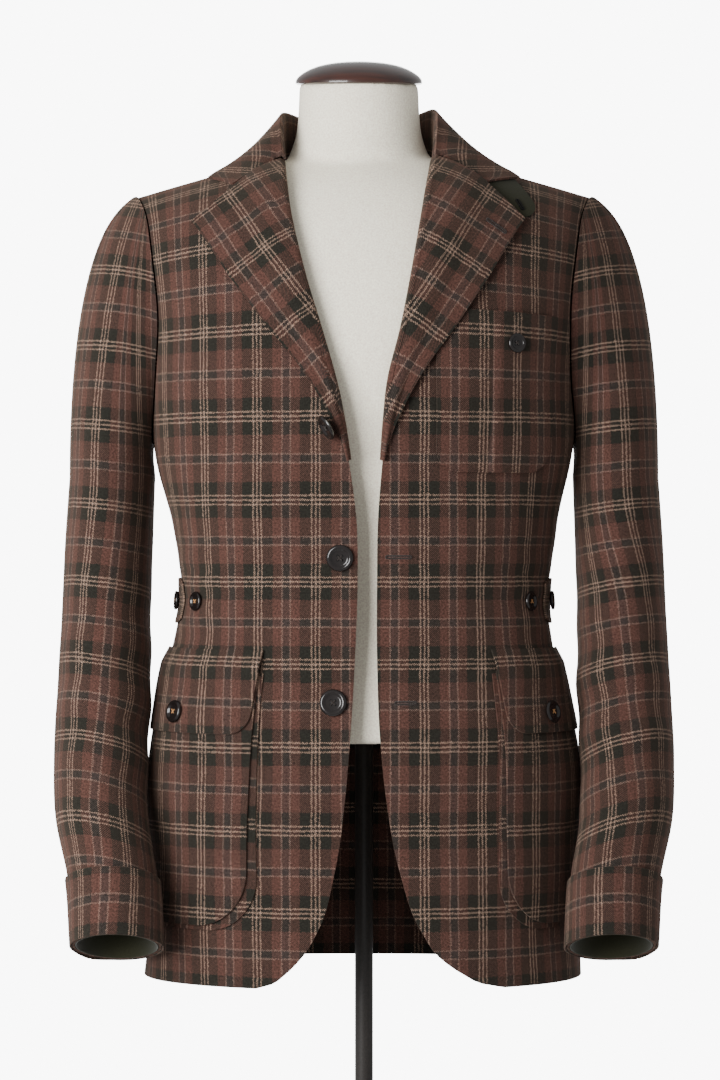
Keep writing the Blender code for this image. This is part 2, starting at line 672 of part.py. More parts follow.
def button(name, turn, length, side, radius, lift, finish, stand_up=0.0):
    """A turned button with a raised rim, lying on the cloth or standing up from it by an angle."""
    lift = lift + (radius - BUTTON_DEPTH / 3) * math.sin(stand_up)
    point = on_body(turn, length, side, lift)
    flat = on_body(turn, length, side, lift + 0.01) - point
    flat /= np.linalg.norm(flat)
    away = np.array([side * STAND_UP_AWAY[0], 0, STAND_UP_AWAY[1]])
    away -= flat * (away @ flat)
    axis = flat * math.cos(stand_up) + away / np.linalg.norm(away) * math.sin(stand_up)
    first = np.cross(axis, [0, 0, 1.0])
    first /= np.linalg.norm(first)
    second = np.cross(axis, first)
    angles = np.linspace(0, 2 * math.pi, BUTTON_SIDES, endpoint=False)
    circle = np.cos(angles)[:, None] * first + np.sin(angles)[:, None] * second
    points, faces = [], []
    rings = BUTTON_PROFILE
    for share, rise in rings:
        points += list(point + circle * radius * share + axis * BUTTON_DEPTH * rise)
    for r in range(len(rings) - 1):
        faces += quads(2, BUTTON_SIDES, r * BUTTON_SIDES, around=True)
    faces.append(tuple(range(BUTTON_SIDES)))
    faces.append(tuple(range((len(rings) - 1) * BUTTON_SIDES, len(rings) * BUTTON_SIDES)))
    return solid(name, points, faces, finish)


def buttons(finish):
    seat = CLOTH / 2 + LAY_GAP
    for place, length in FRONT_BUTTON_LENGTH.items():
        turn = turn_at(FRONT_BUTTON_X[place], length)
        raised = TOP_BUTTON_STANDS_UP if place == "top" else 0.0
        button(f"front_button_{place}", turn, length, RIGHT, FRONT_BUTTON_RADIUS, seat, finish, raised)
    on_tab = CLOTH + LAY_GAP
    on_flap = POCKET_LIFT + CLOTH + LAY_GAP + seat
    for side, name in SIDE_NAMES.items():
        turn, length = FLAP_BUTTON_TURN, FLAP_BUTTON_LENGTH
        button(f"flap_button_{name}", turn, length, side, FLAP_BUTTON_RADIUS, on_flap, finish)
        for turn, place, rest in zip(TAB_BUTTON_TURNS, ("front", "side"), (seat, on_tab + seat)):
            button(f"tab_button_{place}_{name}", turn, TAB_MIDDLE, side, TAB_BUTTON_RADIUS, rest, finish)
    turn = turn_at(BREAST_BUTTON_X, BREAST_BUTTON_LENGTH)
    button("breast_button", turn, BREAST_BUTTON_LENGTH, LEFT, BREAST_BUTTON_RADIUS, on_tab + seat, finish)


def stack(name, rings, finish):
    """A closed solid through rings of equal count, with flat ends."""
    count = len(rings[0])
    faces = []
    for r in range(len(rings) - 1):
        faces += quads(2, count, r * count, around=True)
    faces.append(tuple(range(count)))
    faces.append(tuple(range((len(rings) - 1) * count, len(rings) * count)))
    return solid(name, np.concatenate(rings), faces, finish)


def form_trunk(finish):
    """The trunk under the jacket: the body surface drawn in by an ease, closed at the shoulders."""
    quarter = np.linspace(0, math.pi, 17)
    rings = []
    shoulders = [0.64, 0.67, 0.695, 0.715, 0.733, 0.749]
    for length in np.concatenate([np.linspace(FORM_BOTTOM, 0.60, 9), shoulders]):
        ease = FORM_EASE.at("ease", length)
        half = on_body(quarter, length, LEFT, -ease - CLOTH / 2)
        narrow = min(1.0, FORM_SHOULDER_X / half[:, 0].max())
        inner = half[:, 0] * narrow
        fall = np.hypot(half[:, 0], NECK_SOFT) - np.hypot(inner, NECK_SOFT)
        half[:, 2] += BODY.at("tilt", length) * fall
        half[:, 0] = inner
        half[:, 2] -= FORM_SHOULDER_DROP * (inner / inner.max()) ** 6
        rings.append(np.concatenate([half, half[-2:0:-1] * np.array([-1, 1, 1])]))
    rings[0][:, 2] = BODY.at("height", FORM_BOTTOM)
    return stack("form_trunk", rings, finish)


def form_neck_rings(count=32):
    angles = np.linspace(0, 2 * math.pi, count, endpoint=False)
    rings = []
    for height in NECK.columns["height"]:
        wide, deep = NECK.at("half_width", height), NECK.at("half_depth", height)
        lean = NECK_TOP_LEAN * np.clip((height - 0.88) / 0.05, 0, 1)
        y = NECK.at("middle_y", height) + deep * np.sin(angles)
        z = height + lean * (y - NECK.at("middle_y", height))
        rings.append(np.stack([NECK_SHIFT + wide * np.cos(angles), y, z], axis=1))
    return rings


def dress_form(linen):
    """Trunk and neck joined into one smooth-skinned body."""
    trunk = form_trunk(linen)
    neck = stack("form_neck_tool", form_neck_rings(), linen)
    neck.hide_render = True
    neck.display_type = "WIRE"
    join = trunk.modifiers.new("neck", "BOOLEAN")
    join.operation = "UNION"
    join.object = neck
    trunk.name = "form_body"


def neck_cap(finish):
    """A turned wooden cap on the neck, leaning with its top."""
    lip = CAP_LIP / CAP_HEIGHT
    profile = ((1.0, 0.0), (1.0, lip), (0.93, 0.42), (0.78, 0.68), (0.55, 0.87), (0.28, 0.97))
    angles = np.linspace(0, 2 * math.pi, 32, endpoint=False)
    top = NECK.columns["height"][-1]
    middle_y = NECK.at("middle_y", top)
    rings = [None] * len(profile)
    for i, (share, rise) in enumerate(profile):
        x = NECK_SHIFT + CAP_RADIUS * share * np.cos(angles)
        y = CAP_RADIUS * share * np.sin(angles)
        z = top + SEAM_GAP + CAP_HEIGHT * rise + NECK_TOP_LEAN * y
        rings[i] = np.stack([x, middle_y + y, z], axis=1)
    return stack("form_cap", rings, finish)


def turned(name, profile, finish, sides=32):
    """A solid turned about the Z axis from (radius, height) pairs, from the bottom up."""
    angles = np.linspace(0, 2 * math.pi, sides, endpoint=False)
    rings = []
    for radius, height in profile:
        x, y = radius * np.cos(angles), radius * np.sin(angles)
        rings.append(np.stack([x, y, np.full(sides, height)], axis=1))
    return stack(name, rings, finish)


def stand(finish):
    """A round foot and a short pole that carries the form."""
    edge = 0.003
    rim = ((BASE_RADIUS, 0.0), (BASE_RADIUS, BASE_HEIGHT - edge), (BASE_RADIUS - edge, BASE_HEIGHT))
    turned("stand_base", rim, finish, 48)
    top = BODY.at("height", FORM_BOTTOM) - SEAM_GAP
    turned("stand_pole", ((POLE_RADIUS, BASE_HEIGHT + SEAM_GAP), (POLE_RADIUS, top)), finish, 20)


def main():
    clear_scene()
    plaid = material("plaid_wool", (0.084, 0.053, 0.041), 0.9)
    olive = material("olive_cloth", (0.034, 0.034, 0.016), 0.9)
    horn = material("horn", (0.018, 0.014, 0.012), 0.3)
    linen = material("linen", (0.80, 0.72, 0.62), 0.85)
    wood = material("polished_wood", (0.10, 0.032, 0.014), 0.2)
    steel = material("painted_steel", (0.03, 0.027, 0.025), 0.4)
    for side in SIDE_NAMES:
        front_panel(side, plaid)
        sleeve(side, plaid)
        cuff(side, plaid)
        cuff_lining(side, olive)
        lapel(side, plaid)
        bellows_pocket(side, plaid)
        flap(side, plaid)
        waist_tab(side, plaid)
    back_panel(plaid)
    collar(plaid)
    throat_tab(olive)
    breast_pocket(plaid)
    buttons(horn)
    dress_form(linen)
    neck_cap(wood)
    stand(steel)


main()
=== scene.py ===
"""Looks of the plaid safari jacket on its dress form.

Each cloth piece is made again from the sizes and tables of the solid part, on finer grids, with
cloth coordinates in metres, so that the woven check runs as it does in the picture.
"""

from math import cos, exp, hypot, pi, radians, sin, sqrt

import bmesh
import bpy
import mathutils
import numpy as np
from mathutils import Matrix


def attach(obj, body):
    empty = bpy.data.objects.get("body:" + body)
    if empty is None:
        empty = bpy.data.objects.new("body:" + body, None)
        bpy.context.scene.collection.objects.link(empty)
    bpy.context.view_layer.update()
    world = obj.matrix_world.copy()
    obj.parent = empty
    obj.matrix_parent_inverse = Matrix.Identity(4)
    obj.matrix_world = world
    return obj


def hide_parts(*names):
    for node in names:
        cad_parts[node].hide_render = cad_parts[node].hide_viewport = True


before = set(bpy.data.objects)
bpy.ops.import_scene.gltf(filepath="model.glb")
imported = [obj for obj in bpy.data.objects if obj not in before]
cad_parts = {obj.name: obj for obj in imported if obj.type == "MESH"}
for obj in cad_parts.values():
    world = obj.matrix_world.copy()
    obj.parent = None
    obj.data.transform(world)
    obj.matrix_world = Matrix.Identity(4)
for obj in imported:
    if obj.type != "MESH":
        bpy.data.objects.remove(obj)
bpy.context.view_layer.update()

RIGHT, LEFT = -1, 1
SIDE_NAMES = {RIGHT: "right", LEFT: "left"}

# Driving sizes of the jacket
CLOTH = 0.0020
LINING = 0.0010
SEAM_GAP = 0.0003
LAY_GAP = 0.0006
BREADTH_POWER = 2.4
SIDE_Y = 0.005
SHOULDER_X = 0.203
NECK_SHIFT = -0.0045
NECK_SOFT = 0.030
RIDGE = 0.752
UNDERARM = 0.465
ARMHOLE_MIDDLE, ARMHOLE_HALF = (RIDGE + UNDERARM) / 2, (RIDGE - UNDERARM) / 2
ARMHOLE_FRONT_TURN = 0.40
ARMHOLE_BACK_TURN = 0.42
BACK_NECK_DROP = 0.072
BACK_NECK_X = 0.069
BREAK = 0.440
GORGE = 0.712


class Table:
    """Rows of named columns, read between the rows along a smooth curve over the first column."""

    def __init__(self, columns, *rows):
        self.columns = dict(zip(columns, np.array(rows, float).T))
        self.key = self.columns[columns[0]]

    def at(self, column, key):
        """The column's value where the first column is key."""
        key = np.clip(key, self.key[0], self.key[-1])
        values = self.columns[column]
        slopes = np.gradient(values, self.key)
        row = np.clip(np.searchsorted(self.key, key, side="right") - 1, 0, len(self.key) - 2)
        span = self.key[row + 1] - self.key[row]
        t = (key - self.key[row]) / span
        rise = t * t * (3 - 2 * t)
        return (
            values[row] * (1 - rise)
            + values[row + 1] * rise
            + span * slopes[row] * t * (1 - t) ** 2
            + span * slopes[row + 1] * t * t * (t - 1)
        )


# One row for each section of the body: half-width at the side, depth in front of the side and
# behind it, and how steeply the section climbs towards the neck
BODY = Table(
    ("length", "height", "half_width", "front", "back", "tilt"),
    (0.000, 0.1500, 0.190, 0.138, 0.136, 0.00),
    (0.090, 0.2400, 0.187, 0.139, 0.138, 0.00),
    (0.200, 0.3500, 0.183, 0.134, 0.130, 0.00),
    (0.285, 0.4350, 0.167, 0.123, 0.114, 0.00),
    (0.330, 0.4800, 0.160, 0.119, 0.108, 0.00),
    (0.390, 0.5400, 0.168, 0.124, 0.113, 0.00),
    (0.465, 0.6150, 0.183, 0.134, 0.124, 0.00),
    (0.530, 0.6800, 0.187, 0.137, 0.130, 0.02),
    (0.590, 0.7380, 0.191, 0.127, 0.125, 0.08),
    (0.640, 0.7830, 0.196, 0.104, 0.109, 0.16),
    (0.680, 0.8110, 0.199, 0.074, 0.082, 0.23),
    (0.715, 0.8260, 0.202, 0.039, 0.045, 0.27),
    (0.752, 0.8295, 0.203, 0.000, 0.000, 0.29),
)

# The front's inner edge: round hem corner, open front edge, and the lapel's roll line up to the neck
EDGE = Table(
    ("length", "right", "left"),
    (0.000, 0.0920, 0.1200),
    (0.004, 0.0785, 0.1000),
    (0.010, 0.0700, 0.0880),
    (0.025, 0.0545, 0.0660),
    (0.050, 0.0390, 0.0480),
    (0.100, 0.0247, 0.0300),
    (0.160, 0.0162, 0.0188),
    (0.210, 0.0120, 0.0136),
    (0.280, 0.0077, 0.0110),
    (0.350, 0.0055, 0.0110),
    (0.397, 0.0065, 0.0118),
    (0.440, 0.0119, 0.0150),
    (0.484, 0.0200, 0.0195),
    (0.518, 0.0285, 0.0245),
    (0.550, 0.0385, 0.0335),
    (0.597, 0.0540, 0.0440),
    (0.644, 0.0660, 0.0530),
    (0.700, 0.0720, 0.0610),
    (0.752, 0.0735, 0.0640),
)

# The lapel's free edge, from the break up to its point: distance from the middle and length
LAPEL_EDGE = Table(
    ("share", "right_x", "right_length", "left_x", "left_length"),
    (0.00, 0.0119, 0.440, 0.0150, 0.440),
    (0.14, 0.0235, 0.474, 0.0250, 0.474),
    (0.30, 0.0440, 0.510, 0.0430, 0.510),
    (0.55, 0.0850, 0.561, 0.0800, 0.561),
    (0.78, 0.1175, 0.604, 0.1090, 0.604),
    (1.00, 0.1470, 0.653, 0.1360, 0.651),
)
NOTCH_X = {RIGHT: 0.1115, LEFT: 0.1035}
NOTCH_LENGTH = 0.682
NOTCH_SHARE = 0.55
LAPEL_LIFT = {RIGHT: 0.0028, LEFT: 0.0056}
LAPEL_TOP_GAP = {RIGHT: 0.001, LEFT: 0.008}
ROLL_LIFT = 0.0030
ROLL_REACH = 0.0022
LAPEL_FOOT, ROLL_START, ROLL_WIDTH = 0.25, 0.08, 0.6
CURL_OUT, CURL_BACK, CURL_TOP = 0.30, 0.7, 0.15
GORGE_POWER = 8

# The collar from past the centre back to its front end: its fold, the height of its stand, and its
# outer edge as distance from the middle and length past the shoulder seam (front negative)
COLLAR = Table(
    ("share", "fold_x", "fold_y", "fold_z", "stand", "edge_x", "edge_over"),
    (-0.26, -0.0440, 0.0640, 0.9070, 0.042, -0.058, 0.074),
    (0.00, 0.0000, 0.0800, 0.9030, 0.046, 0.000, 0.086),
    (0.26, 0.0440, 0.0640, 0.9070, 0.042, 0.058, 0.074),
    (0.52, 0.0665, 0.0240, 0.9095, 0.040, 0.098, 0.022),
    (0.78, 0.0690, -0.0190, 0.8940, 0.024, 0.121, -0.026),
    (1.00, 0.0668, -0.0435, 0.8640, 0.004, 0.134, -0.047),
)
COLLAR_LIFT = 0.0052
COLLAR_BULGE = -0.002
COLLAR_TILT = 0.003
SEAM_INSIDE, FOLD_INSIDE, FOLD_DROP, STAND_BOW = 0.0025, 0.002, 0.0025, 0.001
FALL_BEND, BULGE_FADE = 0.42, 0.6

# The sleeve below the armhole: how far below its top ring, its outer and inner side from the
# middle, the middle and half of its depth, and how far the section leans forward
SLEEVE = Table(
    ("drop", "outer_x", "inner_x", "middle_y", "half_depth", "lean"),
    (0.000, 0.2580, 0.1850, 0.004, 0.072, 0.02),
    (0.055, 0.2615, 0.1866, 0.000, 0.071, 0.06),
    (0.125, 0.2640, 0.1880, -0.010, 0.069, 0.11),
    (0.185, 0.2665, 0.1870, -0.024, 0.066, 0.17),
    (0.245, 0.2680, 0.1885, -0.044, 0.062, 0.24),
    (0.295, 0.2645, 0.1865, -0.070, 0.058, 0.30),
    (0.345, 0.2520, 0.1772, -0.096, 0.053, 0.32),
    (0.400, 0.2465, 0.1730, -0.115, 0.050, 0.32),
)
# How the sleeve's head leaves the armhole: its way out and up, each at mid height and with what
# the shoulder adds, and its way forward
HEAD_OUT, HEAD_UP, HEAD_FORWARD = (0.46, 0.10), (-0.62, 0.22), 0.06
SLEEVE_TOP_Z = 0.585
SLEEVE_LENGTH = 0.400
CUFF_TOP = 0.346
CUFF_SLIT = radians(-50)
CUFF_SLIT_WIDTH = 0.0030
CUFF_CORNER_DROP = 0.004
CUFF_SLIT_SHARE, CUFF_PAST = 0.4, 0.0008

# Pockets, flaps, tab and their buttons, as places on the body surface
POCKET_INNER_X = {RIGHT: (0.088, 0.099), LEFT: (0.110, 0.121)}
POCKET_OUTER_TURN = radians(87.5)
POCKET_TOP, POCKET_BOTTOM = 0.268, 0.052
POCKET_CORNER = 0.046
GUSSET_SHOWS, GUSSET_GROWS = 0.009, (0.4, 1.05)
GUSSET_CLOTH = 0.0012
GUSSET_TOP_DROP, GUSSET_BOTTOM_DROP = 0.002, 0.004
FLAP_TOP, FLAP_BOTTOM = 0.286, 0.214
FLAP_CORNER = 0.018
FLAP_MARGIN = 0.003
BREAST_TOP, BREAST_BOTTOM = 0.570, 0.438
BREAST_INNER_X = 0.060
BREAST_OUTER_X = (0.164, 0.152)
BREAST_CORNER = 0.020
TAB_TURNS = (radians(73), radians(122))
TAB_MIDDLE, TAB_HALF_HEIGHT = 0.327, 0.020
THROAT_TAB_ENDS = ((0.116, 0.700), (0.139, 0.656))
THROAT_TAB_HALF_WIDTH = 0.0145
THROAT_TAB_CLOTH = 0.0012

# Buttons: turn or distance from the middle, length and radius. The top one is caught by the
# lapel's roll
BUTTON_DEPTH = 0.0036
TOP_BUTTON_STANDS_UP, STAND_UP_AWAY = radians(68), (0.87, -0.50)
FRONT_BUTTON_X = {"top": 0.0300, "middle": 0.0205, "bottom": 0.0262}
FRONT_BUTTON_LENGTH = {"top": 0.4760, "middle": 0.3650, "bottom": 0.2420}
FRONT_BUTTON_RADIUS = 0.0115
FLAP_BUTTON_TURN, FLAP_BUTTON_LENGTH, FLAP_BUTTON_RADIUS = radians(58), 0.231, 0.0098
TAB_BUTTON_TURNS, TAB_BUTTON_RADIUS = (radians(61), radians(82)), 0.0085
BREAST_BUTTON_X, BREAST_BUTTON_LENGTH, BREAST_BUTTON_RADIUS = 0.1265, 0.545, 0.0085

# The dress form and its stand
FORM_BOTTOM = 0.206
FORM_EASE = Table(
    ("length", "ease"),
    (0.206, 0.0200),
    (0.330, 0.0200),
    (0.465, 0.0180),
    (0.560, 0.0110),
    (0.640, 0.0100),
    (0.700, 0.0080),
    (0.735, 0.0026),
    (0.752, 0.0013),
)
FORM_SHOULDER_X = 0.178
FORM_SHOULDER_DROP = 0.004
NECK = Table(
    ("height", "half_width", "half_depth", "middle_y"),
    (0.800, 0.058, 0.050, 0.022),
    (0.850, 0.057, 0.054, 0.019),
    (0.880, 0.0550, 0.055, 0.015),
    (0.905, 0.0535, 0.056, 0.013),
    (0.931, 0.0525, 0.055, 0.011),
)
NECK_TOP_LEAN, LEAN_FROM, LEAN_OVER = 0.10, 0.88, 0.05
CAP_RADIUS, CAP_HEIGHT = 0.0560, 0.0215
POLE_RADIUS, BASE_RADIUS, BASE_HEIGHT, BASE_EDGE = 0.0080, 0.155, 0.012, 0.003

# How far the middle of a second layer lies off the first, and a button's back off its cloth
LAYER, SEAT = CLOTH + LAY_GAP, CLOTH / 2 + LAY_GAP
POCKET_LIFT = SEAT + GUSSET_CLOTH + SEAT

# Where the check's lines fall: cloth distance from the centre front, or up from the hem, of a
# triple line
FRONT_MARK = {RIGHT: 0.0410, LEFT: 0.0510}
WEFT_MARK = 0.2744
SLEEVE_WEFT_MARK, CUFF_WEFT_MARK, CUFF_SLIP = -0.0274, -0.3365, -0.006
SLEEVE_MARK = Table(
    ("drop", "right", "left", "rise"),
    (0.000, 73.0, 83.0, 0.10),
    (0.030, 73.0, 82.0, 0.12),
    (0.100, 66.5, 63.0, 0.14),
    (0.170, 62.5, 56.0, 0.18),
    (0.240, 58.5, 51.5, 0.22),
    (0.300, 52.0, 45.0, 0.22),
    (0.400, 40.0, 38.0, 0.16),
)
LAPEL_MARK, COLLAR_WEFT_MARK = 0.039, 0.030
POCKET_SLIP, GUSSET_SLIP, FLAP_SLIP = (0.001, 0.0015), (0.005, -0.005), (0.001, -0.001)
PLEAT_SHARE, PLEAT_LIFT, PLEAT_SLIP, PLEAT_FOLD, PLEAT_FADE = 0.44, 0.0022, 0.020, 0.03, 0.18

# The check: yarn colours as display values, and each stripe's start in metres from the middle of
# a triple line, over half a repeat
YARNS = {
    "rust": (64, 41, 35),
    "charcoal": (21, 22, 18),
    "cream": (120, 99, 85),
    "pale": (98, 77, 68),
    "taupe": (41, 34, 32),
    "dark": (21, 19, 17),
}
WARP_HALF, WEFT_HALF, THREAD = 0.0253, 0.0350, 0.00042
WAVER, FRAY, RELIEF = 0.0016, 0.0036, 0.0004
WAVER_SCALE, FRAY_SCALE, FUZZ_SCALE, CLOUD_SCALE = 28.0, 800.0, 620.0, 60.0
HEATHER, CLOUD, YARN_SHADE = 2.8, 0.35, 0.83
STRIPE_YARNS = ("cream", "dark", "cream", "charcoal", "rust", "pale", "taupe")
WARP_STRIPES = (0.0, 0.00065, 0.00275, 0.0040, 0.0134, 0.0210, 0.0223)
WEFT_STRIPES = (0.0, 0.0007, 0.0031, 0.0045, 0.0152, 0.0307, 0.0321)

# Fine rows, folds and small fittings
FINE_LENGTHS = np.concatenate(
    [
        [0.0, 0.0015, 0.004, 0.007, 0.011, 0.016, 0.022],
        np.linspace(0.028, UNDERARM, 76),
        UNDERARM + (RIDGE - UNDERARM) * (1 - np.cos(np.linspace(0, pi, 62)[1:])) / 2,
    ]
)
FINE_DROPS = np.linspace(0.0, SLEEVE_LENGTH, 72)
GATHER, ELBOW_FOLD, WAIST_GATHER = 0.0002, 0.0018, 0.0009
GATHER_TURN, GATHER_LENGTH, GATHER_WAVES, HEAD_GATHERS = 0.38, 0.060, 235.0, 30
ELBOW_DROP, ELBOW_SPREAD, ELBOW_SPACING, ELBOW_INSIDE = 0.20, 0.085, 0.052, radians(115)
RIPPLE_TOP, RIPPLE_FADE = 0.70, 0.16
HEM_WAVE, HEM_REACH = 0.0012, 0.16
FRONT_COLUMNS, SLEEVE_COLUMNS, PATCH_COLUMNS, BREAST_COLUMNS = 44, 72, 48, 60
ROUND = np.linspace(-pi, pi, SLEEVE_COLUMNS + 1)
STAND_ROWS, PRESSED_THIN, RIM_SHARE = 9, 0.3, 0.38
BUTTONHOLE_HALF, BUTTONHOLE_THREAD = 0.0011, 0.00065
BUTTONHOLES = {
    "middle": ((0.0195, 0.3656), (0.0390, 0.3656)),
    "bottom": ((0.0271, 0.2418), (0.0432, 0.2418)),
}
LAPEL_BUTTONHOLE = ((0.118, 0.634), (0.104, 0.642))
TAB_BUTTONHOLE, TAB_CLOTH_LENGTH = (0.66, 0.84), 0.12
FLAP_SLANT, FLAP_CLIMB = 0.004, 0.2

# The form's neck: how far its linen tucks into the cap, and the soft flare at its foot. The cap's
# and the buttons' profiles are shares of radius and height
NECK_TUCK, NECK_FLARE, NECK_FOOT, FLARE_HEIGHT = 0.0025, 0.007, 0.862, 0.018
CAP_SHARES = (0.90, 0.97, 1.0, 1.0, 0.985, 0.95, 0.89, 0.80, 0.68, 0.54, 0.38, 0.20, 0.05)
CAP_RISES = (0.0, 0.02, 0.08, 0.18, 0.27, 0.38, 0.50, 0.64, 0.77, 0.87, 0.94, 0.98, 1.0)
BUTTON_SHARES = (0.50, 0.58, 0.66, 0.74, 0.84, 0.93, 1.0, 0.95, 0.80, 0.62)
BUTTON_RISES = (0.52, 0.55, 0.80, 0.96, 0.98, 0.86, 0.52, 0.25, 0.06, 0.0)
HOLE_REACH, HOLE_SHARE, HOLE_SUNK, HOLE_DEPTH = 0.24, 0.1, 0.0004, 0.00046
STRAND, STRAND_STEP = 0.00055, 0.0004

# Camera, floor and light
FLOOR_RADIUS = 0.36
CAMERA, LENS = (-0.0035, -3.2, 0.53), 121.2
KEY_PLACE, KEY_AIM = (-1.05, -1.35, 0.70), (-0.05, 0, 0.5)
WORLD_LIGHT, BACKDROP_LIGHT, KEY_LIGHT = 0.66, 9.0, 62.0

# Soft waves of the hanging cloth: height, waves round the body, change up the cloth, and start
RIPPLES = (
    (0.0008, 3, 23.0, 0.6),
    (0.0006, 5, -41.0, 2.1),
    (0.0005, 2, 67.0, 0.0),
)


class Nodes:
    """A short way to add and wire the shader nodes of a material or a world."""

    def __init__(self, owner, shader, surface):
        owner.use_nodes = True
        self.owner, self.tree = owner, owner.node_tree
        self.shader = self.tree.nodes[shader]
        for socket, value in surface.items():
            self.shader.inputs[socket].default_value = value

    def add(self, kind, inputs=(), **settings):
        node = self.tree.nodes.new(kind)
        for key, value in settings.items():
            setattr(node, key, value)
        for index, value in dict(inputs).items():
            self.put(node.inputs[index], value)
        return node

    def put(self, socket, value):
        if isinstance(value, bpy.types.NodeSocket):
            self.tree.links.new(value, socket)
        else:
            socket.default_value = value

    def maths(self, operation, a, b=0.0):
        return self.add("ShaderNodeMath", {0: a, 1: b}, operation=operation).outputs[0]

    def noise(self, vector, scale, detail):
        node = self.add("ShaderNodeTexNoise", {"Vector": vector, "Scale": scale, "Detail": detail})
        return node.outputs["Fac"]

    def sway(self, vector, scale, detail, size):
        """Noise about zero, of this size."""
        return self.maths("MULTIPLY", self.maths("SUBTRACT", self.noise(vector, scale, detail), 0.5), size)

    def scaled(self, vector, factor):
        return self.add("ShaderNodeVectorMath", {0: vector, 1: factor}, operation="MULTIPLY").outputs[0]

    def blend(self, share, low, high):
        """The colour at a share between two stops, each a place and a colour."""
        node = self.add("ShaderNodeValToRGB", {0: share})
        for stop, (place, colour) in zip(node.color_ramp.elements, (low, high)):
            stop.position, stop.color = place, colour
        return node.outputs[0]

    def finish(self, colour, height=None, strength=0.0):
        """Wires the colour and, if there is one, the fine relief, and gives the material."""
        self.put(self.shader.inputs["Base Color"], colour)
        if height is not None:
            relief = {"Height": height, "Strength": strength, "Distance": RELIEF}
            self.put(self.shader.inputs["Normal"], self.add("ShaderNodeBump", relief).outputs[0])
        return self.owner


def surfaced(name, surface):
    return Nodes(bpy.data.materials.new(name), "Principled BSDF", surface)


def linear(rgb, factor=1.0):
    """A colour written as 0 to 255 display values, as the shader needs it, made lighter or darker."""
    parts = [v / 255 for v in rgb]
    parts = [v / 12.92 if v <= 0.04045 else ((v + 0.055) / 1.055) ** 2.4 for v in parts]
    return tuple(min(1.0, v * factor) for v in parts) + (1.0,)


def stripe_ramp(nodes, position, half_repeat, stripes):
    """The yarn colour at a place in the check's half repeat, from where each stripe starts."""
    share = nodes.maths("DIVIDE", nodes.maths("PINGPONG", position, half_repeat), half_repeat)
    ramp = nodes.add("ShaderNodeValToRGB", {0: share})
    ramp.color_ramp.interpolation = "CONSTANT"
    stops = ramp.color_ramp.elements
    stops.remove(stops[1])
    stops[0].color = linear(YARNS[STRIPE_YARNS[0]])
    for start, yarn in zip(stripes[1:], STRIPE_YARNS[1:]):
        stops.new(start / half_repeat).color = linear(YARNS[yarn])
    return ramp.outputs[0]


def plaid_material():
    """Warp and weft stripes, shown by turns in a two-and-two twill with frayed edges and heather."""
    surface = {"Roughness": 0.95, "Specular IOR Level": 0.15, "Sheen Weight": 0.18}
    surface |= {"Sheen Roughness": 0.6, "Sheen Tint": linear((190, 160, 140))}
    nodes = surfaced("plaid_twill", surface)
    uv = nodes.add("ShaderNodeUVMap", uv_map="cloth").outputs[0]
    across, up = nodes.add("ShaderNodeSeparateXYZ", {0: uv}).outputs[:2]
    waver = nodes.sway(uv, WAVER_SCALE, 2.0, WAVER)
    waver = nodes.maths("ADD", waver, nodes.sway(uv, FRAY_SCALE, 3.0, FRAY))
    warp = stripe_ramp(nodes, nodes.maths("ADD", across, waver), WARP_HALF, WARP_STRIPES)
    weft = stripe_ramp(nodes, nodes.maths("ADD", up, waver), WEFT_HALF, WEFT_STRIPES)
    thread_x, thread_y = (nodes.maths("DIVIDE", way, THREAD) for way in (across, up))
    place = nodes.maths("SUBTRACT", nodes.maths("FLOOR", thread_x), nodes.maths("FLOOR", thread_y))
    over = nodes.maths("LESS_THAN", nodes.maths("FLOORED_MODULO", place, 4.0), 2.0)
    woven = nodes.add("ShaderNodeMix", {"Factor": over, 6: weft, 7: warp}, data_type="RGBA").outputs[2]
    fuzz, cloud = nodes.noise(uv, FUZZ_SCALE, 4.0), nodes.noise(uv, CLOUD_SCALE, 3.0)
    shade = nodes.maths("ADD", nodes.maths("MULTIPLY", fuzz, HEATHER), nodes.maths("MULTIPLY", cloud, CLOUD))
    shade = nodes.maths("ADD", shade, YARN_SHADE - HEATHER / 2)
    wale = nodes.maths("FLOORED_MODULO", nodes.maths("SUBTRACT", thread_x, thread_y), 4.0)
    ridge = nodes.maths("MULTIPLY", nodes.maths("PINGPONG", wale, 2.0), 0.35)
    return nodes.finish(nodes.scaled(woven, shade), nodes.maths("ADD", ridge, fuzz), 0.5)


def mottled_material(name, colour, roughness, scale, strength, sheen=0.2, coat=0.0):
    """Fine noise in the colour and in the surface, for cloth, thread, horn and paint."""
    surface = {"Roughness": roughness, "Specular IOR Level": 0.2, "Sheen Weight": sheen}
    nodes = surfaced(name, surface | {"Coat Weight": coat, "Coat Roughness": 0.05})
    fuzz = nodes.noise(nodes.add("ShaderNodeTexCoord").outputs["Object"], scale, 4.0)
    mixed = nodes.blend(fuzz, (0.25, linear(colour, 0.78)), (0.75, linear(colour, 1.2)))
    return nodes.finish(mixed, fuzz, strength)


def wood_material():
    """Dark polished wood with its grain drawn out along X."""
    surface = {"Roughness": 0.35, "Specular IOR Level": 0.3}
    nodes = surfaced("walnut", surface | {"Coat Weight": 0.6, "Coat Roughness": 0.06})
    spot = nodes.add("ShaderNodeTexCoord").outputs["Object"]
    grain = nodes.noise(nodes.scaled(spot, (1.0, 6.0, 14.0)), 14.0, 5.0)
    return nodes.finish(nodes.blend(grain, (0.3, linear((22, 9, 6))), (0.72, linear((60, 28, 19)))))


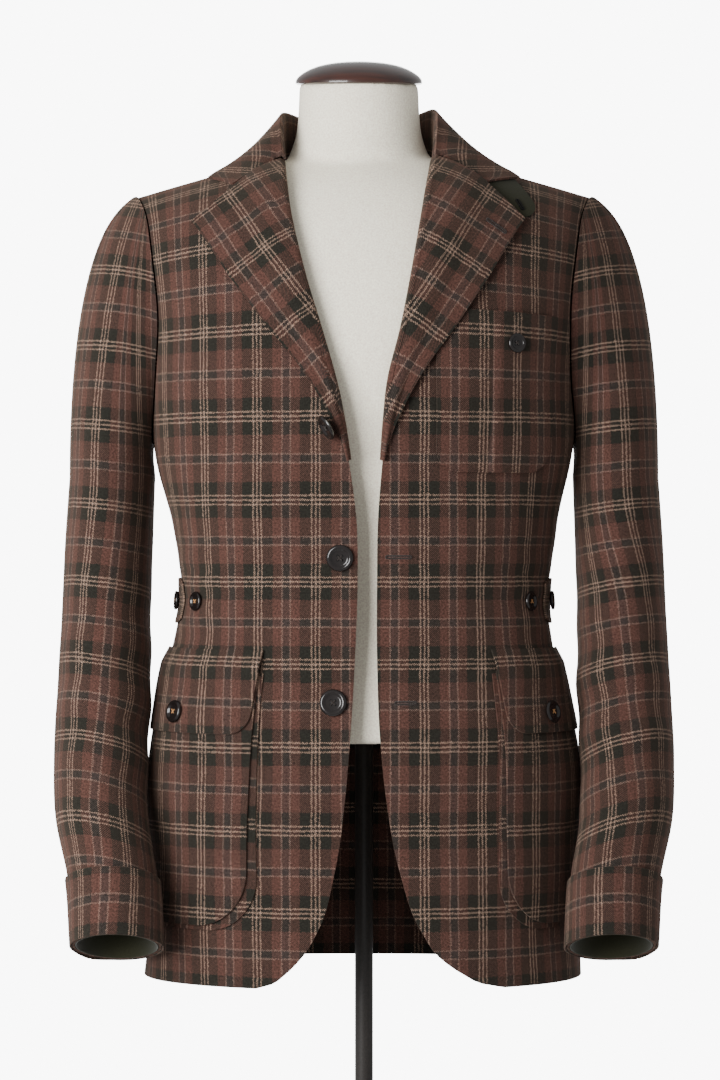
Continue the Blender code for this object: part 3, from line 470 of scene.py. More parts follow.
PLAID = plaid_material()
OLIVE = mottled_material("olive_felt", (46, 46, 31), 0.95, 1500.0, 0.4)
LODEN = mottled_material("dark_olive_felt", (36, 36, 22), 0.95, 1100.0, 0.4, 0.05)
LINEN = mottled_material("cream_linen", (246, 232, 212), 0.9, 700.0, 0.35, 0.1)
HORN = mottled_material("dark_horn", (22, 18, 17), 0.22, 260.0, 0.05, 0.0, 0.4)
DARK = mottled_material("hole_shadow", (8, 7, 7), 0.8, 900.0, 0.2, 0.0)
TAN = mottled_material("tan_thread", (150, 106, 64), 0.8, 2600.0, 0.4)
BROWN = mottled_material("brown_thread", (32, 24, 20), 0.85, 2600.0, 0.4)
STEEL = mottled_material("dark_paint", (44, 41, 39), 0.4, 500.0, 0.1, 0.0, 0.1)
WOOD = wood_material()


def unit(vectors):
    """The same directions, one unit long."""
    return vectors / np.linalg.norm(vectors, axis=-1, keepdims=True)


def distance_along(points):
    """How far each point lies from the first one, along the first axis."""
    steps = np.linalg.norm(np.diff(points, axis=0), axis=-1)
    return np.concatenate([np.zeros_like(steps[:1]), np.cumsum(steps, axis=0)])


def closed(grid):
    """A tube's grid with its first column again at the end."""
    return np.concatenate([grid, grid[:, :1]], axis=1)


def marked(across, up):
    """Cloth coordinates from distances across and up the cloth."""
    return np.stack(np.broadcast_arrays(across, up), axis=-1)


def bent(start, pull, end, shares):
    """Points on a curve from start to end that leans towards a third point."""
    t = np.asarray(shares)[:, None]
    return (1 - t) ** 2 * start + 2 * t * (1 - t) * pull + t * t * end


def body_point(turn, length):
    """Points of the body surface on the +X side."""
    power = 2 / BREADTH_POWER
    x = BODY.at("half_width", length) * np.sign(np.sin(turn)) * np.abs(np.sin(turn)) ** power
    reach = np.abs(np.cos(turn)) ** power
    front = np.cos(turn) > 0
    y = SIDE_Y + np.where(front, -BODY.at("front", length), BODY.at("back", length)) * reach
    climb = hypot(SHOULDER_X, NECK_SOFT) - np.hypot(x, NECK_SOFT)
    z = BODY.at("height", length) + BODY.at("tilt", length) * climb
    return np.stack([x, y, z], axis=-1)


def body_normal(turn, length):
    """The outward direction of the body surface on the +X side."""
    step = 1e-4
    length = np.minimum(length, RIDGE - 0.003)
    around = body_point(turn + step, length) - body_point(turn - step, length)
    along = body_point(turn, length + step) - body_point(turn, length - step)
    return unit(np.cross(around, along))


def turn_at(x, length):
    """The turn at which the body surface's front is this far from the middle."""
    share = np.clip(np.asarray(x) / BODY.at("half_width", length), 0, 1)
    return np.arcsin(share ** (BREADTH_POWER / 2))


def armhole_turn(length, reach):
    """Half the armhole's opening at this length, as a turn to either side of the side line."""
    return reach * np.sqrt(np.clip(1 - ((length - ARMHOLE_MIDDLE) / ARMHOLE_HALF) ** 2, 0, 1))


def ripple(turn, length, side):
    """Soft unevenness of the cloth, which fades towards the shoulders, and gathers beside the tab."""
    way = turn * side
    wave = sum(high * np.sin(count * way + length * climb + start) for high, count, climb, start in RIPPLES)
    hem = HEM_WAVE * np.sin(4 * way + 0.9) * np.clip(1 - length / HEM_REACH, 0, 1) ** 2
    beside, above = (turn - TAB_BUTTON_TURNS[0]) / GATHER_TURN, (length - TAB_MIDDLE) / GATHER_LENGTH
    folds = np.sin(length * GATHER_WAVES + 3.4 * turn + 0.8 * np.sin(length * 90.0) + 0.5 * side)
    pull = WAIST_GATHER * np.exp(-(beside**2) - above**2) * folds
    return (wave + hem) * np.clip((RIPPLE_TOP - length) / RIPPLE_FADE, 0, 1) + pull


def on_body(turn, length, side, lift, slack=1.0):
    """Points this far off the hanging cloth, on either side of the jacket."""
    turn, length, lift, side = np.broadcast_arrays(turn, np.asarray(length, float), lift, side)
    out = lift + slack * ripple(turn, length, side)
    points = body_point(turn, length) + body_normal(turn, length) * out[..., None]
    points[..., 0] *= side
    return points


def on_front(x, length, side, lift):
    """Points off the cloth of the front, by their distance from the middle."""
    return on_body(turn_at(x, length), length, side, lift)


def across_body(turns, length):
    """How far along the cloth each turn lies from the first, at one length."""
    return distance_along(body_point(turns, np.full_like(turns, length)))


def even_turns(length, first, last, count):
    """Turns from first to last at one length, evenly spaced along the cloth."""
    dense = np.linspace(first, last, 161)
    along = across_body(dense, length)
    return np.interp(np.linspace(0, along[-1], count), along, dense)


def front_cloth(side, turns, length):
    """Cloth coordinates on a front: across from the centre front, and up from the hem."""
    dense = np.linspace(0.0, turns[-1], 400)
    across = np.interp(turns, dense, across_body(dense, length)) - FRONT_MARK[side]
    return marked(across, length - WEFT_MARK)


def clear_of_seam(grid, way):
    """Keeps a panel's points in front of the side and shoulder seams (-1) or behind them (1)."""
    offset = (grid[..., 1] - SIDE_Y) * way
    grid[..., 1] = SIDE_Y + way * np.maximum(offset, SEAM_GAP)
    return grid


def sleeve_ring(drop, angles, side, out=0.0):
    """One ring of the sleeve below the armhole. Angle 0 is its outer side, pi/2 its front."""
    outer, inner = SLEEVE.at("outer_x", drop), SLEEVE.at("inner_x", drop)
    lean, deep = SLEEVE.at("lean", drop), SLEEVE.at("half_depth", drop) + out
    wide = (outer - inner) / 2 + out
    x = (outer + inner) / 2 + wide * np.cos(angles)
    forward = -deep * np.sin(angles)
    y = SLEEVE.at("middle_y", drop) + forward * cos(lean)
    z = SLEEVE_TOP_Z - drop - forward * sin(lean)
    return np.stack([side * x, y, z], axis=-1)


def armhole_loop(angles, side):
    """The armhole's seam line. Angle 0 is the shoulder, pi/2 the front, pi the underarm."""
    length = ARMHOLE_MIDDLE + ARMHOLE_HALF * np.cos(angles)
    reach = np.where(np.sin(angles) > 0, -ARMHOLE_FRONT_TURN, ARMHOLE_BACK_TURN)
    turn = pi / 2 + reach * np.abs(np.sin(angles))
    return on_body(turn, np.clip(length, UNDERARM, RIDGE - 1e-4), side, LAYER)


def sleeve_cap(angles, side, shares):
    """Rings from the armhole, out over the shoulder and down to the sleeve's top ring."""
    start, end = armhole_loop(angles, side), sleeve_ring(0.0, angles, side)
    reach = np.linalg.norm(end - start, axis=1)[:, None]
    top = np.cos(angles)
    out, up = (middle + more * top for middle, more in (HEAD_OUT, HEAD_UP))
    leave = np.stack([side * out, -HEAD_FORWARD * np.sin(angles), up], axis=1)
    arrive = np.array([0.0, 0.0, -1.0])
    t = np.asarray(shares)[:, None, None]
    return (
        (1 + 2 * t) * (1 - t) ** 2 * start
        + t * (1 - t) ** 2 * leave * reach
        + t * t * (3 - 2 * t) * end
        + t * t * (t - 1) * arrive * reach
    )


def made_mesh(name, points, faces, finish, slot, nodes=(), sharp=50, cloth=None):
    """A piece from points and faces, smooth up to an angle, with cloth coordinates if it has them."""
    mesh = bpy.data.meshes.new(name)
    mesh.from_pydata(points.tolist(), [], faces)
    if cloth is not None:
        layer = mesh.uv_layers.new(name="cloth")
        layer.data.foreach_set("uv", np.ascontiguousarray(cloth, np.float32).ravel())
    shape = bmesh.new()
    shape.from_mesh(mesh)
    bmesh.ops.recalc_face_normals(shape, faces=shape.faces)
    shape.to_mesh(mesh)
    shape.free()
    mesh.materials.append(finish)
    mesh.shade_smooth()
    mesh.set_sharp_from_angle(angle=radians(sharp))
    obj = bpy.data.objects.new(name, mesh)
    bpy.context.scene.collection.objects.link(obj)
    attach(obj, "root")
    if nodes:
        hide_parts(*nodes)
    return obj


def grid_normals(grid, around=False):
    """Which way each point of a grid faces. A tube's grid runs on round its columns."""
    down = np.gradient(grid, axis=0)
    if around:
        across = (np.roll(grid, -1, axis=1) - np.roll(grid, 1, axis=1)) / 2
    else:
        across = np.gradient(grid, axis=1)
    normal = np.cross(across, down)
    return normal / np.maximum(np.linalg.norm(normal, axis=2, keepdims=True), 1e-12)


def modified(obj, name, kind, **settings):
    modifier = obj.modifiers.new(name, kind)
    for key, value in settings.items():
        setattr(modifier, key, value)


def cloth_wall(
    name, grid, cloth, held, rests_on, thickness=CLOTH, finish=PLAID, slot="plaid_wool", around=False,
    pleat=None, pressed=0,
):
    """A sheet of cloth with two faces and a rounded rim.

    A pleat is a column and how far the cloth's pattern jumps there. The first rows can be pressed thin.
    """
    grid, cloth = np.asarray(grid), np.asarray(cloth)
    rows, columns, _ = grid.shape
    half = grid_normals(grid, around) * thickness / 2
    if pressed:
        half = half * np.clip(np.arange(rows) / pressed, PRESSED_THIN, 1.0)[:, None, None]
    points = np.concatenate([(grid + half).reshape(-1, 3), (grid - half).reshape(-1, 3)])
    last = columns if around else columns - 1
    r, c = np.meshgrid(np.arange(rows - 1), np.arange(last), indexing="ij")
    r, c = r.ravel(), c.ravel()
    here, below, d = r * columns, (r + 1) * columns, (c + 1) % columns
    outer = np.stack([here + c, here + d, below + d, below + c], axis=1)
    marks = np.stack([cloth[r, c], cloth[r, c + 1], cloth[r + 1, c + 1], cloth[r + 1, c]], axis=1)
    if pleat is not None:
        marks[c >= pleat[0], :, 0] += pleat[1]
    count = rows * columns
    corners, coordinates = [outer, outer[:, ::-1] + count], [marks, marks[:, ::-1]]
    along, down = np.arange(last), np.arange(rows - 1)
    rims = [(0 * along, along, 0, 1), (0 * along + rows - 1, along, 0, 1)]
    if not around:
        rims += [(down, 0 * down, 1, 0), (down, 0 * down + columns - 1, 1, 0)]
    for row, column, lower, right in rims:
        a = row * columns + column
        b = (row + lower) * columns + (column + right) % columns
        first, second = cloth[row, column], cloth[row + lower, column + right]
        corners.append(np.stack([a, b, b + count, a + count], axis=1))
        coordinates.append(np.stack([first, second, second, first], axis=1))
    faces, coordinates = np.concatenate(corners).tolist(), np.concatenate(coordinates)
    obj = made_mesh(name, points, faces, finish, slot, [name], 55, coordinates)
    rim = {"width": thickness * RIM_SHARE, "segments": 2, "angle_limit": radians(50)}
    modified(obj, "rim", "BEVEL", limit_method="ANGLE", **rim)
    ring = closed(grid) if around else grid
    down = distance_along(grid)[-1].max()
    wide = distance_along(ring.swapaxes(0, 1))[-1].max()


def front_panel(side):
    name = SIDE_NAMES[side]
    rows, cloth = [], []
    for length in FINE_LENGTHS:
        first = turn_at(EDGE.at(name, length), length)
        last = pi / 2 - armhole_turn(length, ARMHOLE_FRONT_TURN)
        turns = even_turns(length, first, last, FRONT_COLUMNS)
        rows.append(on_body(turns, length, side, 0.0))
        cloth.append(front_cloth(side, turns, length))
    grid = clear_of_seam(np.array(rows), -1)
    cloth_wall(f"front_{name}", grid, cloth, "draped", ["form_body"])


def back_panel():
    """The back from armhole to armhole, with the neck's dip in its top edge."""
    neck = [(NECK_SHIFT + way * BACK_NECK_X) / SHOULDER_X for way in (-1, 1)]
    shoulders = [np.linspace(-1, neck[0], 32), np.linspace(neck[1], 1, 32)]
    across = np.concatenate([shoulders[0], np.linspace(*neck, 33)[1:-1], shoulders[1]])
    way = np.sign(across + 1e-9)
    dip = np.maximum(0, 1 - ((across * SHOULDER_X - NECK_SHIFT) / BACK_NECK_X) ** 2)
    rows, cloth = [], []
    for length in FINE_LENGTHS:
        here = length * (1 - BACK_NECK_DROP * dip / RIDGE)
        turns, along = np.zeros_like(here), np.zeros_like(here)
        for i, (share, high) in enumerate(zip(np.abs(across), here)):
            edge = pi / 2 + armhole_turn(high, ARMHOLE_BACK_TURN)
            dense = np.linspace(pi, edge, 61)
            reach = across_body(dense, high)
            along[i] = share * reach[-1]
            turns[i] = np.interp(along[i], reach, dense)
        rows.append(on_body(turns, here, way, 0.0))
        cloth.append(marked(along * way, here - WEFT_MARK))
    grid = clear_of_seam(np.array(rows), 1)
    cloth_wall("back", grid, cloth, "draped", ["form_body"])


def sleeve_marks():
    """Cloth distance round the sleeve from under the arm at each column, with the closing column."""
    return distance_along(sleeve_ring(0.12, ROUND, 1))


def cap_marks(points, side, marks, start):
    """Cloth distance round the sleeve's head, where the check runs straight up into the armhole."""
    ring = sleeve_ring(0.0, ROUND, 1)
    axis_x, axis_y = SLEEVE.at("inner_x", 0.0) + 0.005, SLEEVE.at("middle_y", 0.0)
    whole = 2 * pi
    way = np.unwrap(np.arctan2(axis_y - ring[:, 1], ring[:, 0] - axis_x))
    out, back = closed(points)[..., 0] * side - axis_x, closed(points)[..., 1] - axis_y
    here = np.arctan2(-back, out)
    here = here + whole * np.round((way - here) / whole)
    ways = np.concatenate([way[:-1] - whole, way, way[1:] + whole])
    arcs = np.concatenate([marks[:-1] - marks[-1], marks, marks[1:] + marks[-1]])
    reach = np.hypot(ring[:, 0] - axis_x, ring[:, 1] - axis_y)
    reach = np.concatenate([reach[:-1], reach, reach[1:]])
    narrow = np.clip(np.hypot(out, back) / np.interp(here, ways, reach), 0.2, 1.0)
    return start + (np.interp(here, ways, arcs) - start) * narrow


def sleeve_start(side, marks, drops):
    """Where a triple line lies round the sleeve: it drifts towards the outer side on its way down."""
    return np.interp(np.radians(SLEEVE_MARK.at(SIDE_NAMES[side], drops)), ROUND, marks)


def sleeve_folds(cap_rows, angles, side):
    """How far the sleeve's cloth stands out: gathers at its head, and slack folds inside the elbow."""
    rows = []
    for r in range(cap_rows):
        fade = exp(-((r / 9.0) ** 2)) * (1 - exp(-((r / 2.0) ** 2)))
        top = np.clip(np.cos(angles) + 0.35, 0, 1)
        rows.append(GATHER * fade * top * np.cos(HEAD_GATHERS * angles + 0.6 * np.sin(7 * angles)))
    for drop in FINE_DROPS:
        fade = exp(-(((drop - ELBOW_DROP) / ELBOW_SPREAD) ** 2))
        inside = np.clip(0.25 + 0.75 * np.cos(angles - ELBOW_INSIDE), 0, 1)
        wave = np.sin(2 * pi * (drop / ELBOW_SPACING - 0.16 * np.cos(angles + 0.9) + 0.2 * side))
        rows.append(ELBOW_FOLD * fade * inside * wave)
    return np.array(rows)


def sleeve(side):
    angles, marks = ROUND[:-1], sleeve_marks()
    cap = sleeve_cap(angles, side, np.linspace(0, 1, 34)[:-1])
    grid = np.concatenate([cap, [sleeve_ring(drop, angles, side) for drop in FINE_DROPS]])
    grid = grid + grid_normals(grid, True) * sleeve_folds(len(cap), angles, side)[..., None] * -side
    above = distance_along(grid[len(cap) :: -1])[:0:-1]
    up = np.concatenate([above, np.repeat(-FINE_DROPS[:, None], len(angles), axis=1)])
    up = closed(up) - SLEEVE_WEFT_MARK
    drops = np.concatenate([np.zeros(len(cap)), FINE_DROPS])
    start = sleeve_start(side, marks, drops)
    head = cap_marks(cap, side, marks, start[0])
    across = np.concatenate([head, np.repeat(marks[None], len(FINE_DROPS), axis=0)])
    middle = (SLEEVE.at("outer_x", drops) + SLEEVE.at("inner_x", drops)) / 2
    up = up - SLEEVE_MARK.at("rise", drops)[:, None] * (closed(grid)[..., 0] * side - middle[:, None])
    cloth = marked(across - start[:, None], up)
    cloth_wall(f"sleeve_{SIDE_NAMES[side]}", grid, cloth, "draped", ["form_body"], around=True, pressed=6)


def cuff(side):
    """A turned-up cuff, open at a slit with dropped corners."""
    slit = CUFF_SLIT_SHARE * CUFF_SLIT_WIDTH / SLEEVE.at("half_depth", SLEEVE_LENGTH) / 2
    angles = CUFF_SLIT + np.linspace(slit, 2 * pi - slit, 81)
    corner = np.maximum(0, 1 - np.minimum(angles - angles[0], angles[-1] - angles) / 0.5)
    whole = sleeve_marks()
    marks = np.interp((angles + pi) % (2 * pi), ROUND + pi, whole)
    marks = np.unwrap(marks, period=whole[-1]) + CUFF_SLIP
    rows, cloth = [], []
    for share in np.linspace(0, 1, 16):
        drop = CUFF_TOP + (SLEEVE_LENGTH + CUFF_PAST - CUFF_TOP) * share
        ring = sleeve_ring(drop, angles, side, LAYER)
        ring[:, 2] -= CUFF_SLIT_SHARE * CUFF_CORNER_DROP * corner * share
        rows.append(ring)
        start = sleeve_start(side, whole, drop)
        cloth.append(marked(marks - start, -drop - CUFF_WEFT_MARK))
    name = SIDE_NAMES[side]
    cloth_wall(f"cuff_{name}", rows, cloth, "folded", [f"sleeve_{name}"])


def cuff_lining(side):
    out = -(CLOTH + LINING) / 2 - LAY_GAP
    drops = np.linspace(CUFF_TOP, SLEEVE_LENGTH, 12)
    grid = np.array([sleeve_ring(drop, ROUND[:-1], side, out) for drop in drops])
    cloth = marked(sleeve_marks(), -drops[:, None])
    name, rests_on = f"cuff_lining_{SIDE_NAMES[side]}", [f"sleeve_{SIDE_NAMES[side]}"]
    cloth_wall(name, grid, cloth, "folded", rests_on, LINING, OLIVE, "olive_cloth", around=True)


def smooth_cloth(cloth):
    """Evens out the steps that nearest points leave in the cloth coordinates."""
    for _ in range(6):
        inner = cloth[1:-1, 1:-1]
        around = cloth[:-2, 1:-1] + cloth[2:, 1:-1] + cloth[1:-1, :-2] + cloth[1:-1, 2:]
        cloth[1:-1, 1:-1] = inner * 0.5 + around * 0.125
    return cloth


def lapel(side):
    """The roll curls out of the front's edge, and the check follows the lapel's free edge.

    The lapel lies close at its foot and higher where a pocket and a tab are under it.
    """
    name = SIDE_NAMES[side]
    across = np.concatenate([np.linspace(0, 0.16, 7), np.linspace(0.16, 1, 34)[1:]])
    bend = np.where(across < NOTCH_SHARE, across / NOTCH_SHARE, (1 - across) / (1 - NOTCH_SHARE))
    roll = ROLL_LIFT * np.sin(pi * np.clip(across / ROLL_WIDTH, 0, 1))
    notch = np.array([NOTCH_X[side], NOTCH_LENGTH - SEAM_GAP])
    rows = []
    for share in np.linspace(0.03, 1, 70):
        start_length = BREAK + (GORGE - LAPEL_TOP_GAP[side] - BREAK) * share
        start = np.array([EDGE.at(name, start_length), start_length])
        end = np.array([LAPEL_EDGE.at(f"{name}_{column}", share) for column in ("x", "length")])
        pull = (share**GORGE_POWER * bend)[:, None] * (notch - start - (end - start) * NOTCH_SHARE)
        x, length = (start + (end - start) * across[:, None] + pull).T
        lift = LAYER + (LAPEL_LIFT[side] - LAYER) * min(1.0, share / LAPEL_FOOT)
        row = on_front(x, length, side, lift + roll)
        reach = ROLL_REACH * min(1.0, ROLL_START + share / LAPEL_FOOT)
        low = on_front(*start, side, -0.0002) - np.array([side * (reach + CLOTH / 2), 0, 0])
        inward = row[0] - on_front(*start, side, 0.0)
        bulge = (row[0] + low) / 2 + inward * CURL_OUT - np.array([side * reach * CURL_BACK, 0, 0])
        curl = bent(low, bulge, row[0] + inward * CURL_TOP, np.linspace(0, 1, 7))
        rows.append(np.concatenate([curl, row[1:]]))
    grid = np.array(rows)
    edge = grid[:, -1]
    ahead = unit(edge[-1] - edge[-8])
    line = np.concatenate([edge, edge[-1] + ahead * np.linspace(0.001, 0.09, 60)[:, None]])
    along = distance_along(line)
    gap = np.linalg.norm(grid[:, :, None, :] - line[None, None], axis=3)
    up = along[gap.argmin(axis=2)] - along[len(edge) - 1]
    cloth = smooth_cloth(marked(gap.min(axis=2) - LAPEL_MARK, up))
    cloth_wall(f"lapel_{name}", grid, cloth, "folded", [f"front_{name}"])


def gorge_line(side, shares, edge_x, edge_length):
    """The collar's front end: along the lapel to the notch, then out to the collar's corner."""
    start_x = EDGE.at(SIDE_NAMES[side], GORGE)
    x = np.interp(shares, (0, NOTCH_SHARE, 1), (start_x, NOTCH_X[side], edge_x))
    length = np.interp(shares, (0, NOTCH_SHARE, 1), (GORGE, NOTCH_LENGTH, edge_length))
    return on_body(turn_at(x, length), length + SEAM_GAP, side, COLLAR_LIFT)


def collar_half(side, shares):
    """Rows from the neck seam, up the stand, over the fold and down the fall to the outer edge."""
    falls = np.linspace(0, 1, 26)[1:]
    end = gorge_line(side, falls, COLLAR.at("edge_x", 1.0), RIDGE + COLLAR.at("edge_over", 1.0))
    up = np.array([0, 0, 1.0])
    rows = []
    for share in shares:
        fold_x = side * COLLAR.at("fold_x", share) + NECK_SHIFT
        tilt = side * COLLAR_TILT * min(1.0, share / 0.5) * (1 - share)
        fold = np.array([fold_x, COLLAR.at("fold_y", share), COLLAR.at("fold_z", share) + tilt])
        over = COLLAR.at("edge_over", share)
        edge_length = RIDGE - abs(over)
        turn = turn_at(COLLAR.at("edge_x", share), edge_length)
        edge = on_body(pi - turn if over > 0 else turn, edge_length, side, COLLAR_LIFT)
        outward = unit((edge - fold) * np.array([1, 1, 0]))
        seam = fold - outward * SEAM_INSIDE - up * COLLAR.at("stand", share)
        near_fold = fold - outward * FOLD_INSIDE - up * FOLD_DROP
        bow = (seam + near_fold) / 2 - outward * STAND_BOW
        inside = bent(seam, bow, near_fold, np.linspace(0, 1, STAND_ROWS))
        shoulder = fold + (edge - fold) * FALL_BEND + up * COLLAR_BULGE * (1 - BULGE_FADE * share)
        fall = bent(fold, shoulder, edge, falls)
        rows.append(np.concatenate([inside, [fold], fall + (end - fall) * share**GORGE_POWER]))
    return rows


def collar():
    shares = np.linspace(0, 1, 46)
    grid = np.array(collar_half(RIGHT, shares[:0:-1]) + collar_half(LEFT, shares))
    down = distance_along(grid.swapaxes(0, 1)).T
    along = distance_along(grid)
    along = along - along[len(shares) - 1]
    cloth = marked(along, down - down[:, [STAND_ROWS]] - COLLAR_WEFT_MARK)
    cloth_wall("collar", grid, cloth, "folded", ["back", "form_body"])


def patch(side, top, bottom, first_turns, last_turns, corner, lift, rows=40, columns=PATCH_COLUMNS):
    """A patch on a front with round lower corners. Its lift is a size, or follows place and share."""
    drops = np.linspace(0, top - bottom - corner, rows)
    bend = np.sin(np.linspace(0, pi / 2, 13)[1:])
    drops = np.concatenate([drops, top - bottom - corner + corner * bend])
    grid, cloth = [], []
    for drop in drops:
        share, length = drop / (top - bottom), top - drop
        past = max(0.0, drop - (top - bottom - corner))
        inset = corner - sqrt(max(0.0, corner**2 - past**2))
        first = first_turns[0] + (first_turns[1] - first_turns[0]) * share
        last = last_turns[0] + (last_turns[1] - last_turns[0]) * share
        dense = even_turns(length, first, last, 81)
        inset /= across_body(dense, length)[-1]
        places = np.linspace(inset, 1 - inset, columns)
        turns = np.interp(places, np.linspace(0, 1, 81), dense)
        high = lift(places, share) if callable(lift) else lift
        grid.append(on_body(turns, length, side, high))
        cloth.append(front_cloth(side, turns, length))
    return np.array(grid), np.array(cloth)


def bellows_pocket(side):
    """A pocket on a gusset that shows along its inner side and bottom."""
    name = SIDE_NAMES[side]
    inner = [turn_at(x, length) for x, length in zip(POCKET_INNER_X[side], (POCKET_TOP, POCKET_BOTTOM))]
    outer = (POCKET_OUTER_TURN, POCKET_OUTER_TURN)
    grid, cloth = patch(side, POCKET_TOP, POCKET_BOTTOM, inner, outer, POCKET_CORNER, POCKET_LIFT)
    cloth_wall(f"pocket_{name}", grid, cloth + np.array(POCKET_SLIP), "hung", [f"front_{name}"])
    shows = GUSSET_SHOWS / BODY.at("half_width", POCKET_TOP)
    wider = [turn - shows * grow for turn, grow in zip(inner, GUSSET_GROWS)]
    lift = SEAT + GUSSET_CLOTH / 2
    ends = (POCKET_TOP - GUSSET_TOP_DROP, POCKET_BOTTOM - GUSSET_BOTTOM_DROP)
    grid, cloth = patch(side, *ends, wider, outer, POCKET_CORNER, lift)
    cloth = cloth + np.array(GUSSET_SLIP)
    cloth_wall(f"gusset_{name}", grid, cloth, "folded", [f"front_{name}"], GUSSET_CLOTH)


def flap(side):
    name = SIDE_NAMES[side]
    first = POCKET_INNER_X[side][0] - FLAP_MARGIN
    inner = [turn_at(x, FLAP_TOP) for x in (first, first + FLAP_SLANT)]
    outer = (POCKET_OUTER_TURN, POCKET_OUTER_TURN)

    def lift(places, share):
        return LAYER + POCKET_LIFT * min(1.0, share / FLAP_CLIMB) + 0 * places

    grid, cloth = patch(side, FLAP_TOP, FLAP_BOTTOM, inner, outer, FLAP_CORNER, lift, rows=26)
    cloth_wall(f"flap_{name}", grid, cloth + np.array(FLAP_SLIP), "hung", [f"pocket_{name}"])


def breast_pocket():
    ends = (BREAST_TOP, BREAST_BOTTOM)
    inner = [turn_at(BREAST_INNER_X, length) for length in ends]
    outer = [turn_at(x, length) for x, length in zip(BREAST_OUTER_X, ends)]

    def lift(places, share):
        past = places - PLEAT_SHARE
        fade = np.exp(-np.maximum(0, past) / PLEAT_FADE)
        return LAYER + PLEAT_LIFT * np.clip(past / PLEAT_FOLD, 0, 1) * fade

    grid, cloth = patch(LEFT, *ends, inner, outer, BREAST_CORNER, lift, columns=BREAST_COLUMNS)
    pleat = (int(PLEAT_SHARE * (BREAST_COLUMNS - 1)), PLEAT_SLIP)
    cloth_wall("breast_pocket", grid, cloth, "hung", ["front_left"], pleat=pleat)


def waist_tab(side):
    shares = np.linspace(-1, 1, 16)
    rows, cloth = [], []
    for place in np.concatenate([np.linspace(0, 0.08, 8), np.linspace(0.08, 1, 40)[1:]]):
        half = TAB_HALF_HEIGHT * min(1.0, sqrt(1 - (1 - min(1.0, 0.35 + place / 0.25)) ** 2))
        turn = TAB_TURNS[0] + (TAB_TURNS[1] - TAB_TURNS[0]) * place
        rows.append(on_body(turn, TAB_MIDDLE + half * shares, side, LAYER))
        cloth.append(marked(half * shares, place * TAB_CLOTH_LENGTH))
    name = SIDE_NAMES[side]
    cloth_wall(f"waist_tab_{name}", rows, cloth, "laid", [f"front_{name}"])


def throat_tab():
    """A tongue with a round end, in the left notch under collar and lapel."""
    start, end = np.array(THROAT_TAB_ENDS)
    along, wide = unit(end - start), THROAT_TAB_HALF_WIDTH
    across = np.array([-along[1], along[0]])
    shares = np.linspace(-1, 1, 20)
    straight = hypot(*(end - start)) - wide
    tip = straight + wide * np.sin(np.linspace(0, 1.5, 14)[1:])
    rows, cloth = [], []
    for place in np.concatenate([np.linspace(0, straight, 14), tip]):
        past = max(0.0, place - straight) / wide
        half = wide * sqrt(max(0.004, 1 - past**2))
        x, length = (start + along * place + across * (shares * half)[:, None]).T
        rows.append(on_front(x, length, LEFT, SEAT + THROAT_TAB_CLOTH / 2))
        cloth.append(marked(shares * half, place))
    look = (THROAT_TAB_CLOTH, LODEN, "olive_cloth")
    cloth_wall("throat_tab", rows, cloth, "laid", ["front_left"], *look)


def ring_faces(rings, count, joined=False):
    """Faces between rings of count points each, and from the last ring to the first if joined."""
    faces = []
    for r in range(rings if joined else rings - 1):
        low, high = r * count, (r + 1) % rings * count
        for c in range(count):
            d = (c + 1) % count
            faces.append((low + c, low + d, high + d, high + c))
    return faces


def lathe_mesh(rings):
    """Points and faces of a closed piece through rings of points, with a middle point at each end."""
    count, last = len(rings[0]), (len(rings) - 1) * len(rings[0])
    points = np.concatenate(list(rings) + [rings[0].mean(axis=0)[None], rings[-1].mean(axis=0)[None]])
    faces = ring_faces(len(rings), count)
    for c in range(count):
        d = (c + 1) % count
        faces.append((d, c, last + count))
        faces.append((last + c, last + d, last + count + 1))
    return points, faces


def lathe(name, rings, finish, slot, nodes=()):
    made_mesh(name, *lathe_mesh(rings), finish, slot, nodes)


def full_turn(count):
    return np.linspace(0, 2 * pi, count, endpoint=False)


def round_rings(profile, centre, first, second, axis, sides):
    """Rings about an axis, one for each radius and rise of the profile."""
    angles = full_turn(sides)
    circle = np.cos(angles)[:, None] * first + np.sin(angles)[:, None] * second
    return [centre + circle * radius + axis * rise for radius, rise in profile]


def button_axes(turn, length, side, lift, stand_up):
    """A button's place, the way it faces, and two directions across it."""
    point = on_body(turn, length, side, lift)
    flat = unit(on_body(turn, length, side, lift + 0.01) - point)
    away = np.array([side * STAND_UP_AWAY[0], 0, STAND_UP_AWAY[1]])
    away -= flat * (away @ flat)
    axis = flat * cos(stand_up) + unit(away) * sin(stand_up)
    first = unit(np.cross(axis, [0, 0, 1.0]))
    return point, axis, first, np.cross(axis, first)


